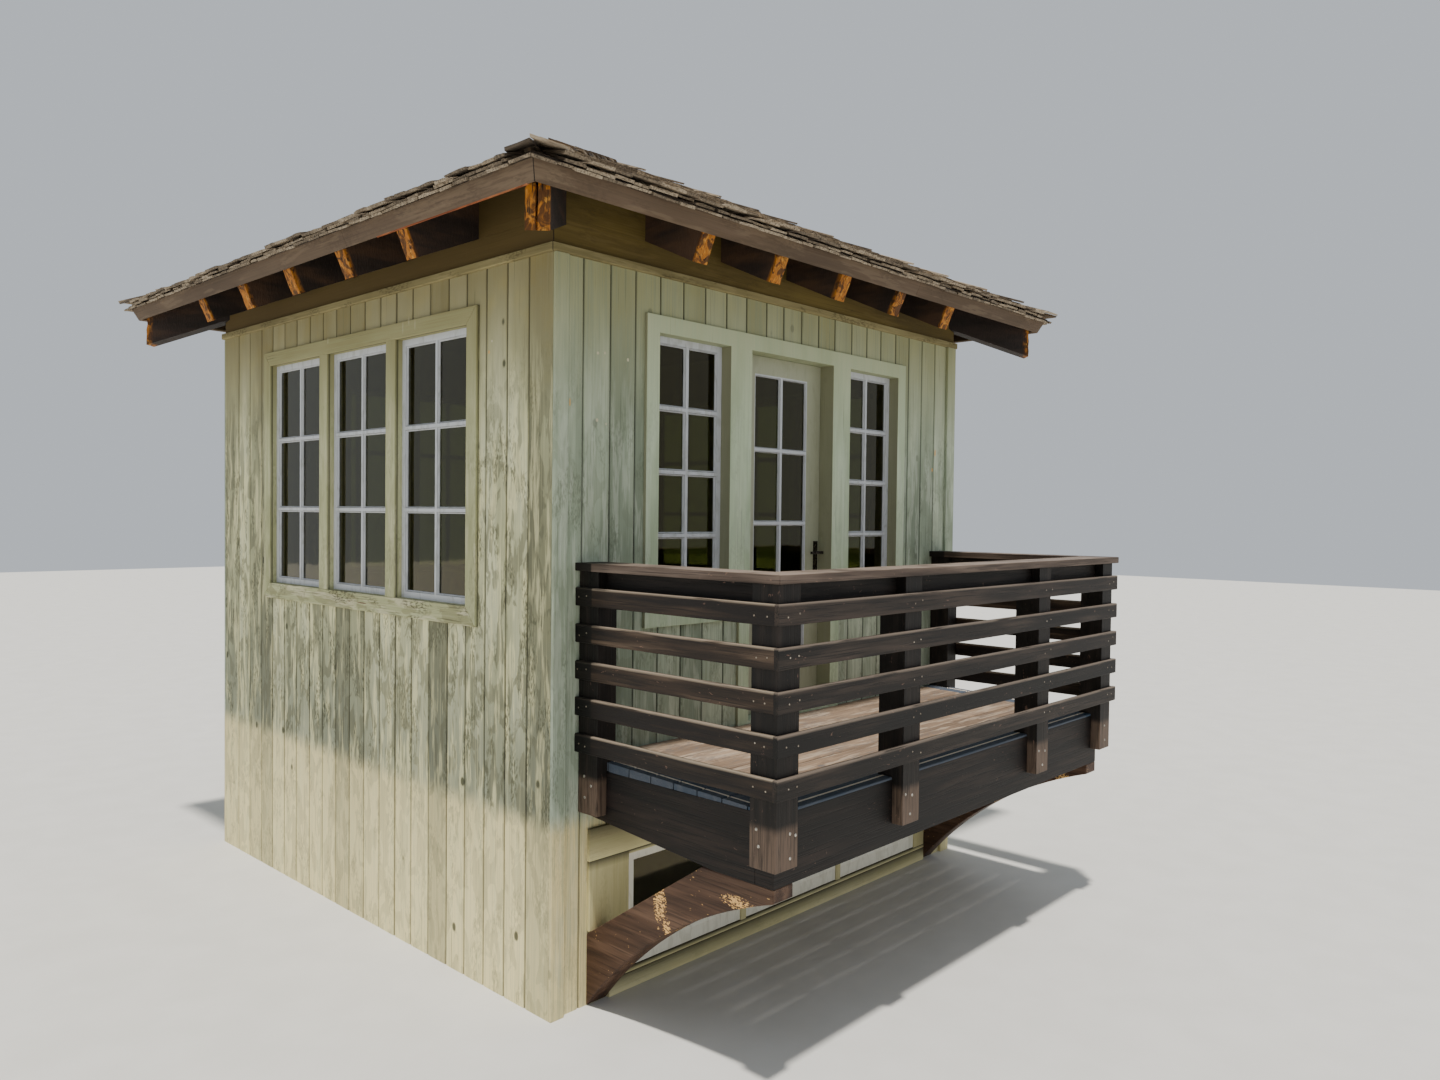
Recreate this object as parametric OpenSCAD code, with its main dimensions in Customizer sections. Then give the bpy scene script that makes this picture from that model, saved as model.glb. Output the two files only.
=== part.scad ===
// Roof cupola with a balcony: a small square room of board siding under a shake hip roof.
// Millimetres. The origin is on the ground line under the middle of the overall box, +Z is up.
// The balcony front faces -Y, and the wall to its left as seen from there faces -X.

/* [Walls] */
// Outside width of the room across the balcony front
wall_w = 3600; // [3300:10:4200]
// Outside depth of the room from the balcony front to the back
wall_d = 3790; // [3600:10:4400]
// Thickness of a wall from siding to inside lining
wall_t = 140; // [120:5:200]
// Height of the top of the narrow eave moulding over the ground line
wall_h = 3660; // [3560:10:4200]
// Height of the narrow eave moulding
moulding_h = 40; // [25:1:70]
// How far mouldings, casings and corner boards stand out of the siding
trim_t = 20; // [12:1:30]
// Width of the corner boards at the left end of the front and the right end of the back
corner_board_w = 80; // [60:1:120]
// Width of the corner boards at the other two ends
wide_corner_board_w = 105; // [60:1:140]
// Thickness of the frieze boards and of the blocking between the rafters
frieze_t = 38; // [25:1:50]
// Thickness of the timber plate that the rafters sit on
plate_h = 76; // [38:1:100]

/* [Roof frame] */
// Angle of the roof slope, close to a rise of five and a half in twelve
roof_angle = 24.6; // [18:0.1:30]
// Overhang from the siding to the lower edge of the fascia
overhang = 430; // [300:5:600]
// Height of the lower edge of the fascia over the eave moulding
fascia_lift = 85; // [60:1:160]
// Height of the fascia, square to the roof
fascia_h = 90; // [70:1:140]
// Thickness of the fascia
fascia_t = 20; // [15:1:40]
// Butt joint in the front and back fascia, from the left corner of that wall
front_joint = 2410; // [1500:10:3000]
// Butt joint in the side fascias, from the front corner of the walls
side_joint = 1140; // [800:10:2600]
// Thickness of a common rafter
rafter_w = 89; // [60:1:110]
// Depth of a common rafter, square to the roof
rafter_h = 235; // [180:1:260]
// Depth of the notch by which a rafter sits on the plate
rafter_seat = 20; // [10:1:35]
// First rafter of the front and back walls, from the left corner to its middle
front_first = 620; // [560:5:700]
// Spacing of the rafters over the front and back walls
front_pitch = 561; // [500:1:600]
// First rafter of the side walls, from the front corner to its middle
side_first = 655; // [560:5:700]
// Spacing of the rafters over the side walls
side_pitch = 620; // [560:1:650]
// Number of rafters over each wall between the hips
rafter_n = 5; // [3:1:5]
// Thickness of a hip rafter
hip_w = 102; // [76:1:130]
// Depth of a hip rafter, square to its top
hip_h = 286; // [240:1:300]
// Half width of the peak block that the hips and rafters meet
peak_half = 90; // [80:1:140]
// Depth of the peak block
peak_h = 340; // [300:5:420]

/* [Roof cover] */
// Thickness of the roof boards
roof_board_t = 20; // [15:1:30]
// Courses of shakes from the eave to the peak
courses = 12; // [8:1:16]
// Thickness of the shake layer at the butt of each course
shake_butt = 40; // [28:1:50]
// Thickness of the shake layer where the next course starts
shake_head = 24; // [14:1:26]
// How far the lowest shakes reach past the fascia
shake_drip = 35; // [15:1:60]
// Width of the hip and ridge caps on each slope
cap_w = 135; // [100:1:180]
// Thickness of the hip and ridge caps
cap_t = 20; // [18:1:30]

/* [Front openings] */
// Middle of the front window and door group, from the left corner
front_mid = 1765; // [1700:5:1850]
// Width of the balcony door opening
door_w = 760; // [700:5:820]
// Width of each sidelight opening
sidelight_w = 540; // [450:5:580]
// Width of the posts between the door and the sidelights
front_mullion = 177; // [100:1:190]
// Height of the head of the front openings over the ground line
front_head = 3334; // [3250:1:3400]
// Recess of the sidelight sashes behind the siding
sidelight_recess = 50; // [10:1:70]
// Recess of the door behind the siding
door_recess = 80; // [40:1:90]

/* [Side and back openings] */
// Middle of the triple window in a side wall, from the front corner
side_mid = 1847; // [1800:5:1950]
// Width of one light of a triple window
light_w = 704; // [600:1:720]
// Width of the mullions of a triple window
side_mullion = 102; // [70:1:120]
// Height of the head of a triple window over the ground line
side_head = 3360; // [3280:1:3420]
// Height of the sill of all windows over the ground line
sill_z = 1922; // [1800:1:2100]
// Recess of the triple window sashes behind the siding
side_recess = 25; // [5:1:60]

/* [Casings and sashes] */
// Width of the flat casing round the openings
casing_w = 89; // [70:1:110]
// Width of the casing below the sills
sill_casing_w = 100; // [70:1:120]
// Thickness of the jambs that line an opening
jamb_t = 19; // [12:1:25]
// Face width of a sash frame
sash_face = 36; // [25:1:50]
// Thickness of a sash
sash_t = 35; // [30:1:45]
// Face width of a glazing bar
bar_w = 20; // [12:1:26]
// Depth of a glazing bar in front of the glass
bar_t = 16; // [10:1:20]
// Thickness of the glass
glass_t = 4; // [3:1:6]

/* [Door] */
// Thickness of the door
door_t = 44; // [35:1:45]
// Width of the door stiles
door_stile = 143; // [90:1:150]
// Height of the top rail of the door
door_top_rail = 112; // [90:1:130]
// Height of the bottom rail of the door
door_bottom_rail = 256; // [200:1:300]
// Height of the threshold over the deck
threshold_h = 32; // [20:1:60]
// Height of the door lever over the deck
lever_h = 968; // [880:1:1050]

/* [Lower windows] */
// Gap between the casing of the lower windows and the knee braces
lower_gap = 2; // [0.5:0.5:40]
// Width of the mullions in the lower window strip
lower_mullion = 46; // [38:1:60]
// Height of the board below the lower windows
base_board_h = 110; // [80:1:180]
// Height of the lower lights
lower_h = 562; // [450:1:600]
// Width of the casing at the left and right of the lower windows
lower_casing_w = 120; // [80:1:130]
// Height of the board over the lower windows
lower_head_h = 230; // [80:1:260]

/* [Floor] */
// Thickness of the floor boards of the room
floor_t = 30; // [20:1:40]
// Depth of the floor joists of the room
floor_joist_h = 235; // [180:5:285]
// Thickness of a joist
joist_t = 38; // [38:1:60]
// Number of floor joists
floor_joist_n = 7; // [5:1:9]

/* [Balcony] */
// Left end of the balcony railing, from the left corner of the room
balcony_x = 146; // [100:1:200]
// Right end of the balcony railing, from the right corner of the room
balcony_right = 116; // [90:1:200]
// Projection of the balcony to the outer face of its slats
balcony_d = 1266; // [1000:5:1500]
// Height of the deck over the ground line
deck_z = 1212; // [1180:1:1260]
// Thickness of a deck board
deck_t = 38; // [25:1:40]
// Number of deck boards from the wall to the front beam
deck_n = 8; // [6:1:10]
// Gap between two deck boards
deck_gap = 6; // [3:1:10]
// Depth of the beams round the deck
beam_h = 304; // [235:1:330]
// Thickness of the beams round the deck
beam_t = 100; // [60:1:120]
// How much shallower a side beam is at the wall
beam_taper_h = 70; // [0:1:110]
// Length of the tapered underside of a side beam, from the wall
beam_taper_l = 850; // [400:10:1000]
// Number of joists under the deck between the side beams
deck_joist_n = 4; // [3:1:6]
// Depth of the joists under the deck
deck_joist_h = 184; // [140:1:235]

/* [Railing] */
// Side of a railing post
post_w = 140; // [100:1:150]
// Width of a railing post against the wall, along the wall
wall_post_w = 114; // [90:1:150]
// How far a post stands out over the beam that it is bolted to
post_lap = 60; // [40:1:80]
// Height of the lower ends of the posts over the ground line
post_foot_z = 965; // [900:5:1050]
// Middle of the left inner post, from the left end of the railing
inner_post_1 = 1014; // [800:1:1200]
// Middle of the right inner post, from the left end of the railing
inner_post_2 = 2378; // [2200:1:2600]
// Number of slats
slat_n = 5; // [4:1:5]
// Height of a slat
slat_h = 88; // [60:1:90]
// Thickness of a slat
slat_t = 25; // [18:1:38]
// Spacing of the slats
slat_pitch = 175.5; // [165:0.5:185]
// Height of the lower edge of the lowest slat over the deck
slat_lift = 50; // [30:1:80]
// Height of the top of the cap rail over the deck
rail_h = 957; // [940:1:1100]
// Thickness of the cap rail
cap_rail_t = 38; // [25:1:45]
// Width of the cap rail
cap_rail_w = 176; // [165:1:235]
// How far the cap rail stands out over the slats
cap_rail_nose = 5; // [0:1:20]
// Height of the rail on edge under the cap rail, between the posts
sub_rail_h = 140; // [70:1:150]
// Thickness of that rail
sub_rail_t = 38; // [30:1:50]

/* [Knee braces] */
// Thickness of a knee brace
brace_t = 130; // [90:1:140]
// Height of the joint between a knee brace and the wall
brace_foot = 352; // [280:1:420]
// Length of the top of a knee brace that lies under the side beam
brace_head = 408; // [300:1:500]
// Height of the outer end of a knee brace
brace_nose = 58; // [40:1:90]
// Radius of the arched underside of a knee brace
brace_r = 2500; // [1800:50:5000]

/* [Hidden] */
// Half of a mitre joint, so that boards of one ring stay separate solids
mitre = 0.5;
// Clearance of a fixed sash in its jambs, and of the door in its opening
seat = 0.3;
door_gap = 2;
far = 12000;
// Rise of the roof slope in a run of one, and how far pieces may reach out before they are cut
slope = tan(roof_angle);
beyond = 3 * overhang;
// Run of the fascia top edge beyond the siding, and the height of the rafter tops over the siding line
eave_run = overhang + fascia_h * sin(roof_angle);
eave_z = wall_h + fascia_lift + fascia_h * cos(roof_angle);
rafter_z = eave_z + eave_run * slope;
// Undersides of the rafters and hips, measured plumb
rafter_drop = rafter_h / cos(roof_angle);
hip_slope = slope / sqrt(2);
hip_drop = hip_h / cos(atan(hip_slope));
rafter_under = rafter_z - rafter_drop;
plate_top = rafter_under + slope * frieze_t + rafter_seat;
wall_top = plate_top - plate_h;
peak_y = wall_w / 2;
ridge_len = wall_d - wall_w;
// The hip ends stop at the inner corner of the fascia
hip_tail = overhang - fascia_t * cos(roof_angle) - hip_w / 2 / sqrt(2) - mitre;
// Window and door groups
front_group = door_w + 2 * front_mullion + 2 * sidelight_w;
front_x0 = front_mid - front_group / 2;
door_x0 = front_x0 + sidelight_w + front_mullion;
side_group = 3 * light_w + 2 * side_mullion;
floor_z = deck_z + threshold_h - 12;
door_foot = deck_z + threshold_h;
stop_w = 12;
stop_y = door_recess + door_t + seat;
lower_z1 = base_board_h + lower_h;
// Balcony, with its width over the railing slats
balcony_w = wall_w - balcony_x - balcony_right;
post_x0 = balcony_x + slat_t;
post_x1 = balcony_x + balcony_w - slat_t;
post_y0 = slat_t - balcony_d;
beam_x0 = post_x0 + post_lap;
beam_x1 = post_x1 - post_lap;
beam_y0 = post_y0 + post_lap;
beam_top = deck_z - deck_t;
beam_z0 = beam_top - beam_h;
rail_under = deck_z + rail_h - cap_rail_t;
// The lower window strip fills the wall between the braces
lower_x0 = beam_x0 + brace_t + lower_gap + lower_casing_w;
lower_group = beam_x1 - brace_t - lower_gap - lower_casing_w - lower_x0;
lower_w = (lower_group - 2 * lower_mullion) / 3;
slat_z0 = deck_z + slat_lift;
deck_run = -beam_y0;
deck_board_w = (deck_run - (deck_n - 1) * deck_gap - 4) / deck_n;
side_beam_foot = beam_z0 + beam_taper_h * (1 - trim_t / beam_taper_l) - mitre;
brace_top_slope = (beam_z0 - brace_foot) / (deck_run - brace_head);

SAGE = "#8c8a70";
SAGE_LIGHT = "#9b997c";
SASH_WHITE = "#c9ccd0";
STAIN = "#43362e";
STAIN_LIGHT = "#5e4233";
DECKING = "#8f7a66";
FASCIA_BROWN = "#6a5d52";
RAFTER = "#8a5a30";
SHAKE = "#8a7d6c";
BOARD = "#a88a62";

// Everything is drawn from the front left corner of the walls and then centred, between the
// nose of the balcony rail and the lowest hip cap at the back
module placed() {
    nose_y = -balcony_d - cap_rail_nose;
    back_y = wall_d + eave_run + shake_drip + (roof_board_t + shake_butt + cap_t) * sin(roof_angle);
    translate([-wall_w / 2, -(nose_y + back_y) / 2, 0]) children();
}

// Frames of the four walls: x runs along the wall, y goes inwards from the siding, z is up
module on_front() { children(); }
module on_back() { translate([wall_w, wall_d, 0]) rotate([0, 0, 180]) children(); }
module on_left() { translate([0, wall_d, 0]) rotate([0, 0, -90]) children(); }
module on_right() { translate([wall_w, 0, 0]) rotate([0, 0, 90]) children(); }

// The wedge of plan between two hips over a wall of length len, kept gap away from both
module hip_sector(len, gap, z0, z1) {
    reach = beyond;
    peak = ridge_len > 0 && len > wall_w
        ? [[peak_y, peak_y - gap], [len - peak_y, peak_y - gap]]
        : [[peak_y, peak_y - gap]];
    translate([0, 0, z0]) linear_extrude(z1 - z0)
        polygon(concat([[-reach + gap, -reach]], peak, [[len + reach - gap, -reach]]));
}

// A profile of y and z carried along a wall and mitred at both hips
module mitred_run(len, gap, points) {
    intersection() {
        translate([-beyond, 0, 0]) rotate([90, 0, 90]) linear_extrude(len + 2 * beyond)
            polygon(points);
        hip_sector(len, gap, 0, far);
    }
}

// All four walls in turn, for a piece that runs round the building
module round_the_walls(gap, points) {
    on_front() mitred_run(wall_w, gap, points);
    on_back() mitred_run(wall_w, gap, points);
    on_left() mitred_run(wall_d, gap, points);
    on_right() mitred_run(wall_d, gap, points);
}

// A point given along the roof slope u from the siding line and square below the rafter tops w
function on_slope(u, w) = [
    u * cos(roof_angle) + w * sin(roof_angle),
    rafter_z + u * sin(roof_angle) - w * cos(roof_angle)
];

eave_u = -eave_run / cos(roof_angle);

// Opening of a group of windows, from x0, with a head at z1
module hole(x0, x1, z0, z1, y0 = -200, y1 = 400) {
    translate([x0, y0, z0]) cube([x1 - x0, y1 - y0, z1 - z0]);
}

// One wall slab with the rebate for the frieze boards at its head
module wall_slab(len, x0, x1) {
    difference() {
        translate([x0, 0, 0]) cube([x1 - x0, wall_t, wall_top]);
        translate([-1, -1, wall_h]) cube([len + 2, frieze_t + 1, far]);
        for (x = [-1, len - frieze_t]) translate([x, -1, wall_h]) cube([frieze_t + 1, far, far]);
        children();
    }
}

module front_wall() {
    color(SAGE) placed() on_front() wall_slab(wall_w, 0, wall_w) {
        hole(front_x0 - jamb_t, door_x0 - jamb_t, sill_z - jamb_t, front_head + jamb_t);
        hole(door_x0 - jamb_t, door_x0 + door_w + jamb_t, deck_z, front_head + jamb_t);
        hole(door_x0 + door_w + jamb_t, front_x0 + front_group + jamb_t,
             sill_z - jamb_t, front_head + jamb_t);
        hole(lower_x0, lower_x0 + lower_group, base_board_h, lower_z1);
    }
}

module triple_hole(mid) {
    hole(mid - side_group / 2 - jamb_t, mid + side_group / 2 + jamb_t,
         sill_z - jamb_t, side_head + jamb_t);
}

module back_wall() {
    color(SAGE) placed() on_back() wall_slab(wall_w, 0, wall_w) triple_hole(wall_w / 2);
}

module left_wall() {
    color(SAGE) placed() on_left() wall_slab(wall_d, wall_t, wall_d - wall_t)
        triple_hole(wall_d - side_mid);
}

module right_wall() {
    color(SAGE) placed() on_right() wall_slab(wall_d, wall_t, wall_d - wall_t)
        triple_hole(side_mid);
}

module corner_boards() {
    h = wall_h - moulding_h - mitre;
    color(SAGE_LIGHT) placed() {
        on_front() corner_pair(h, corner_board_w, wide_corner_board_w);
        on_back() corner_pair(h, wide_corner_board_w, corner_board_w);
    }
}

module corner_pair(h, first, last) {
    translate([0, -trim_t, 0]) cube([first, trim_t, h]);
    translate([wall_w - last, -trim_t, 0]) cube([last, trim_t, h]);
}

// The ring of timber that the rafters sit on, flush with the inside of the walls
module plate_ring() {
    translate([frieze_t, frieze_t, wall_top]) difference() {
        cube([wall_w - 2 * frieze_t, wall_d - 2 * frieze_t, plate_h]);
        translate([wall_t - frieze_t, wall_t - frieze_t, -1])
            cube([wall_w - 2 * wall_t, wall_d - 2 * wall_t, plate_h + 2]);
    }
}

module wall_plates() {
    color(BOARD) placed() round_the_walls(mitre, [
        [frieze_t, wall_top], [wall_t, wall_top], [wall_t, plate_top], [frieze_t, plate_top]
    ]);
}

// The space that one hip rafter fills before its top is bevelled, from the corner at the origin
module hip_bar() {
    d0 = -hip_tail * sqrt(2);
    d1 = peak_y * sqrt(2);
    function top(d) = rafter_z + d * hip_slope;
    rotate([0, 0, 45]) translate([0, hip_w / 2, 0]) rotate([90, 0, 0]) linear_extrude(hip_w)
        polygon([
            [d0, top(d0) - hip_drop],
            [d1, top(d1) - hip_drop],
            [d1, top(d1) + 60],
            [d0, top(d0) + 60]
        ]);
}

module hip_bars() {
    hip_bar();
    translate([wall_w, 0, 0]) mirror([1, 0, 0]) hip_bar();
    translate([0, wall_d, 0]) mirror([0, 1, 0]) hip_bar();
    translate([wall_w, wall_d, 0]) mirror([1, 0, 0]) mirror([0, 1, 0]) hip_bar();
}

// What lies above the plane lift over the rafter tops, on all four slopes
module above_roof(lift) {
    for (side = [0 : 3]) {
        len = side < 2 ? wall_w : wall_d;
        on_side(side) translate([len / 2, 0, rafter_z + lift / cos(roof_angle)])
            rotate([roof_angle, 0, 0]) translate([-far / 2, -far / 2, 0]) cube([far, far, 3000]);
    }
}

module on_side(side) {
    if (side == 0) on_front() children();
    if (side == 1) on_back() children();
    if (side == 2) on_left() children();
    if (side == 3) on_right() children();
}

module peak_form() {
    top = rafter_z + peak_y * slope;
    translate([peak_y - peak_half, peak_y - peak_half, top - peak_h])
        cube([2 * peak_half, ridge_len + 2 * peak_half, peak_h]);
}

module frieze_boards() {
    color(SAGE) placed() difference() {
        round_the_walls(mitre, [
            [0, wall_h], [frieze_t, wall_h], [frieze_t, rafter_under], [0, rafter_under]
        ]);
        hip_bars();
    }
}

module eave_moulding() {
    color(SAGE_LIGHT) placed() round_the_walls(mitre, [
        [-trim_t, wall_h - moulding_h + 4],
        [-trim_t + 4, wall_h - moulding_h],
        [0, wall_h - moulding_h],
        [0, wall_h],
        [-trim_t, wall_h]
    ]);
}

// Middles of the rafters over one wall, counted along that wall
function rafter_places(side) = [
    for (i = [0 : rafter_n - 1])
        side == 0 ? front_first + i * front_pitch
        : side == 1 ? wall_w - front_first - i * front_pitch
        : side == 2 ? wall_d - side_first - i * side_pitch
        : side_first + i * side_pitch
];

// One rafter from its square tail to the peak, its top on the slope
module rafter_bar() {
    tail = eave_u + fascia_t;
    head = peak_y / cos(roof_angle);
    translate([-rafter_w / 2, 0, 0]) rotate([90, 0, 90]) linear_extrude(rafter_w)
        polygon([on_slope(tail, 0), on_slope(head, 0), on_slope(head, rafter_h),
                 on_slope(tail, rafter_h)]);
}

module rafters_of(side) {
    len = side < 2 ? wall_w : wall_d;
    on_side(side) intersection() {
        union() {
            for (x = rafter_places(side)) translate([x, 0, 0]) rafter_bar();
        }
        hip_sector(len, hip_w / sqrt(2), 0, far);
    }
}

module common_rafters() {
    color(RAFTER) placed() difference() {
        for (side = [0 : 3]) rafters_of(side);
        plate_ring();
        peak_form();
    }
}

module hip_rafters() {
    color(RAFTER) placed() difference() {
        hip_bars();
        plate_ring();
        peak_form();
        above_roof(0);
    }
}

module peak_block() {
    color(RAFTER) placed() difference() {
        peak_form();
        above_roof(0);
    }
}

// Boards between the rafters in the plane of the siding, up to the roof boards
module eave_blocking() {
    color(SAGE) placed() difference() {
        round_the_walls(mitre, [
            [0, rafter_under],
            [frieze_t, rafter_under],
            [frieze_t, rafter_z + slope * frieze_t],
            [0, rafter_z]
        ]);
        for (side = [0 : 3]) rafters_of(side);
        hip_bars();
    }
}

// One flat field of boards per slope, laid on the rafters and cut plumb at the fascia
module roof_boards() {
    field_end = (peak_y + overhang) / cos(roof_angle);
    color(BOARD) placed() round_the_walls(mitre, [
        on_slope(eave_u, 0),
        on_slope(field_end, 0),
        on_slope(field_end, -roof_board_t),
        on_slope(eave_u - roof_board_t * tan(roof_angle), -roof_board_t)
    ]);
}

module fascia_boards() {
    color(FASCIA_BROWN) placed() difference() {
        round_the_walls(mitre, [
            on_slope(eave_u, 0),
            on_slope(eave_u, fascia_h),
            on_slope(eave_u + fascia_t, fascia_h),
            on_slope(eave_u + fascia_t, 0)
        ]);
        // Butt joints, each over a rafter tail
        on_front() fascia_cut(front_joint);
        on_back() fascia_cut(front_joint);
        on_left() fascia_cut(wall_d - side_joint);
        on_right() fascia_cut(side_joint);
    }
}

module fascia_cut(x) {
    translate([x - mitre, -beyond, wall_h]) cube([2 * mitre, beyond, far]);
}

// Saw-tooth section of the shake courses: each course is thickest at its butt. The last one
// runs half a course past the peak, where the wedge of the slope cuts it off
slope_len = (eave_run + shake_drip + peak_y) / cos(roof_angle);
exposure = slope_len / courses;
function course_u(i) = -(eave_run + shake_drip) / cos(roof_angle) + i * exposure;
function course_end(i) = i < courses - 1 ? 1 : 1.5;
function course_top(i) = [
    [course_u(i), shake_butt],
    [course_u(i + course_end(i)), shake_butt - course_end(i) * (shake_butt - shake_head)]
];
shake_section = concat(
    [for (i = [0 : courses - 1]) for (p = course_top(i)) on_slope(p[0], -roof_board_t - p[1])],
    [
        on_slope(course_u(courses - 1 + course_end(courses - 1)), -roof_board_t),
        on_slope(course_u(0), -roof_board_t)
    ]
);

module shakes_of(side) {
    len = side < 2 ? wall_w : wall_d;
    color(SHAKE) placed() on_side(side) mitred_run(len, 0, shake_section);
}

module front_shakes() { shakes_of(0); }
module back_shakes() { shakes_of(1); }
module left_shakes() { shakes_of(2); }
module right_shakes() { shakes_of(3); }

// The strip of a slope beside its hips and ridge that the caps cover
module cap_band(len) {
    difference() {
        hip_sector(len, mitre / 2, 0, far);
        hip_sector_inner(len, cap_w * sqrt(2));
    }
}

module hip_sector_inner(len, gap) {
    reach = beyond;
    peak = len > wall_w
        ? [[peak_y, peak_y - gap], [len - peak_y, peak_y - gap]]
        : [[peak_y, peak_y - gap]];
    translate([0, 0, -1]) linear_extrude(far + 2)
        polygon(concat([[-reach + gap, -reach]], peak, [[len + reach - gap, -reach]]));
}

// One pair of caps per course, cut square at the butt and short of the next pair
module hip_caps() {
    color(SHAKE) placed() for (side = [0 : 3], i = [0 : courses - 1]) {
        len = side < 2 ? wall_w : wall_d;
        low = course_top(i)[0];
        high = course_top(i)[1] - [mitre, 0];
        on_side(side) intersection() {
            translate([-beyond, 0, 0]) rotate([90, 0, 90]) linear_extrude(len + 2 * beyond)
                polygon([
                    on_slope(low[0], -roof_board_t - low[1]),
                    on_slope(high[0], -roof_board_t - high[1]),
                    on_slope(high[0], -roof_board_t - high[1] - cap_t),
                    on_slope(low[0], -roof_board_t - low[1] - cap_t)
                ]);
            cap_band(len);
        }
    }
}

// Flat casing outside and jambs inside the wall, with one opening per light
module frame_of(x0, widths, gaps, head, sills) {
    n = len(widths);
    starts = [for (i = 0, x = x0; i < n; x = x + widths[i] + gaps, i = i + 1) x];
    x1 = starts[n - 1] + widths[n - 1];
    low = min(sills);
    difference() {
        union() {
            hole(x0 - casing_w, x1 + casing_w, sill_z - sill_casing_w, head + casing_w,
                 -trim_t, 0);
            hole(x0 - jamb_t, x1 + jamb_t, sill_z - jamb_t, head + jamb_t, 0, wall_t);
            if (low < sill_z)
                hole(door_x0 - jamb_t, door_x0 + door_w + jamb_t, low, sill_z, 0, wall_t);
            if (low < sill_z)
                hole(door_x0 - casing_w, door_x0 + door_w + casing_w, low, sill_z, -trim_t, 0);
        }
        for (i = [0 : n - 1])
            hole(starts[i], starts[i] + widths[i], sills[i], head);
    }
}

module front_casing() {
    color(SAGE_LIGHT) placed() on_front() union() {
        frame_of(front_x0, [sidelight_w, door_w, sidelight_w], front_mullion, front_head,
                 [sill_z, deck_z, sill_z]);
        // Threshold under the door, and the stops that the door closes against
        hole(door_x0, door_x0 + door_w, deck_z, door_foot - door_gap, -trim_t, wall_t);
        for (x = [door_x0, door_x0 + door_w - stop_w])
            hole(x, x + stop_w, deck_z, front_head, stop_y, wall_t);
        hole(door_x0, door_x0 + door_w, front_head - stop_w, front_head, stop_y, wall_t);
    }
}

module triple_casing(mid) {
    frame_of(mid - side_group / 2, [light_w, light_w, light_w], side_mullion, side_head,
             [sill_z, sill_z, sill_z]);
}

module back_casing() { color(SAGE_LIGHT) placed() on_back() triple_casing(wall_w / 2); }
module left_casing() { color(SAGE_LIGHT) placed() on_left() triple_casing(wall_d - side_mid); }
module right_casing() { color(SAGE_LIGHT) placed() on_right() triple_casing(side_mid); }

// Sash with its glazing bars in front of the glass: cols by rows of panes
module sash(x0, w, z0, z1, recess, cols, rows, face = sash_face) {
    iw = w - 2 * seat - 2 * face;
    ih = z1 - z0 - 2 * seat - 2 * face;
    ix = x0 + seat + face;
    iz = z0 + seat + face;
    translate([0, recess, 0]) union() {
        difference() {
            hole(x0 + seat, x0 + w - seat, z0 + seat, z1 - seat, 0, sash_t);
            hole(ix, ix + iw, iz, iz + ih);
        }
        for (c = [1 : 1 : cols - 1])
            translate([ix + c * iw / cols - bar_w / 2, 0, iz]) cube([bar_w, bar_t, ih]);
        for (r = [1 : 1 : rows - 1])
            translate([ix, 0, iz + r * ih / rows - bar_w / 2]) cube([iw, bar_t, bar_w]);
    }
}

module pane(x0, w, z0, z1, recess, face = sash_face) {
    hole(x0 + seat + face, x0 + w - seat - face, z0 + seat + face, z1 - seat - face,
         recess + bar_t, recess + bar_t + glass_t);
}

module sidelight_sashes() {
    color(SASH_WHITE) placed() on_front()
        for (x = [front_x0, front_x0 + front_group - sidelight_w])
            sash(x, sidelight_w, sill_z, front_head, sidelight_recess, 2, 4);
}

module triple_sashes(mid) {
    for (i = [0 : 2])
        sash(mid - side_group / 2 + i * (light_w + side_mullion), light_w, sill_z, side_head,
             side_recess, 2, 3);
}

module triple_panes(mid) {
    for (i = [0 : 2])
        pane(mid - side_group / 2 + i * (light_w + side_mullion), light_w, sill_z, side_head,
             side_recess);
}

module back_sashes() { color(SASH_WHITE) placed() on_back() triple_sashes(wall_w / 2); }
module left_sashes() { color(SASH_WHITE) placed() on_left() triple_sashes(wall_d - side_mid); }
module right_sashes() { color(SASH_WHITE) placed() on_right() triple_sashes(side_mid); }

// The glazed part of the door
door_glass_x0 = door_x0 + door_stile;
door_glass_w = door_w - 2 * door_stile;
door_glass_z0 = door_foot + door_bottom_rail;
door_glass_z1 = front_head - door_gap - door_top_rail;

module window_glass() {
    color("#9fb4bd", 0.5) placed() {
        on_front() {
            for (x = [front_x0, front_x0 + front_group - sidelight_w])
                pane(x, sidelight_w, sill_z, front_head, sidelight_recess);
            hole(door_glass_x0, door_glass_x0 + door_glass_w, door_glass_z0, door_glass_z1,
                 door_recess + bar_t, door_recess + bar_t + glass_t);
            for (i = [0 : 2])
                pane(lower_x0 + i * (lower_w + lower_mullion), lower_w, base_board_h, lower_z1,
                     side_recess);
        }
        on_back() triple_panes(wall_w / 2);
        on_left() triple_panes(wall_d - side_mid);
        on_right() triple_panes(side_mid);
    }
}

module door_leaf() {
    color(SAGE_LIGHT) placed() on_front() translate([0, door_recess, 0]) union() {
        difference() {
            hole(door_x0 + door_gap, door_x0 + door_w - door_gap, door_foot, front_head - door_gap,
                 0, door_t);
            hole(door_glass_x0, door_glass_x0 + door_glass_w, door_glass_z0, door_glass_z1);
        }
        translate([door_glass_x0 + door_glass_w / 2 - bar_w / 2, 0, door_glass_z0])
            cube([bar_w, bar_t, door_glass_z1 - door_glass_z0]);
        for (r = [1 : 3])
            translate([door_glass_x0, 0,
                       door_glass_z0 + r * (door_glass_z1 - door_glass_z0) / 4 - bar_w / 2])
                cube([door_glass_w, bar_t, bar_w]);
    }
}

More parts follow.
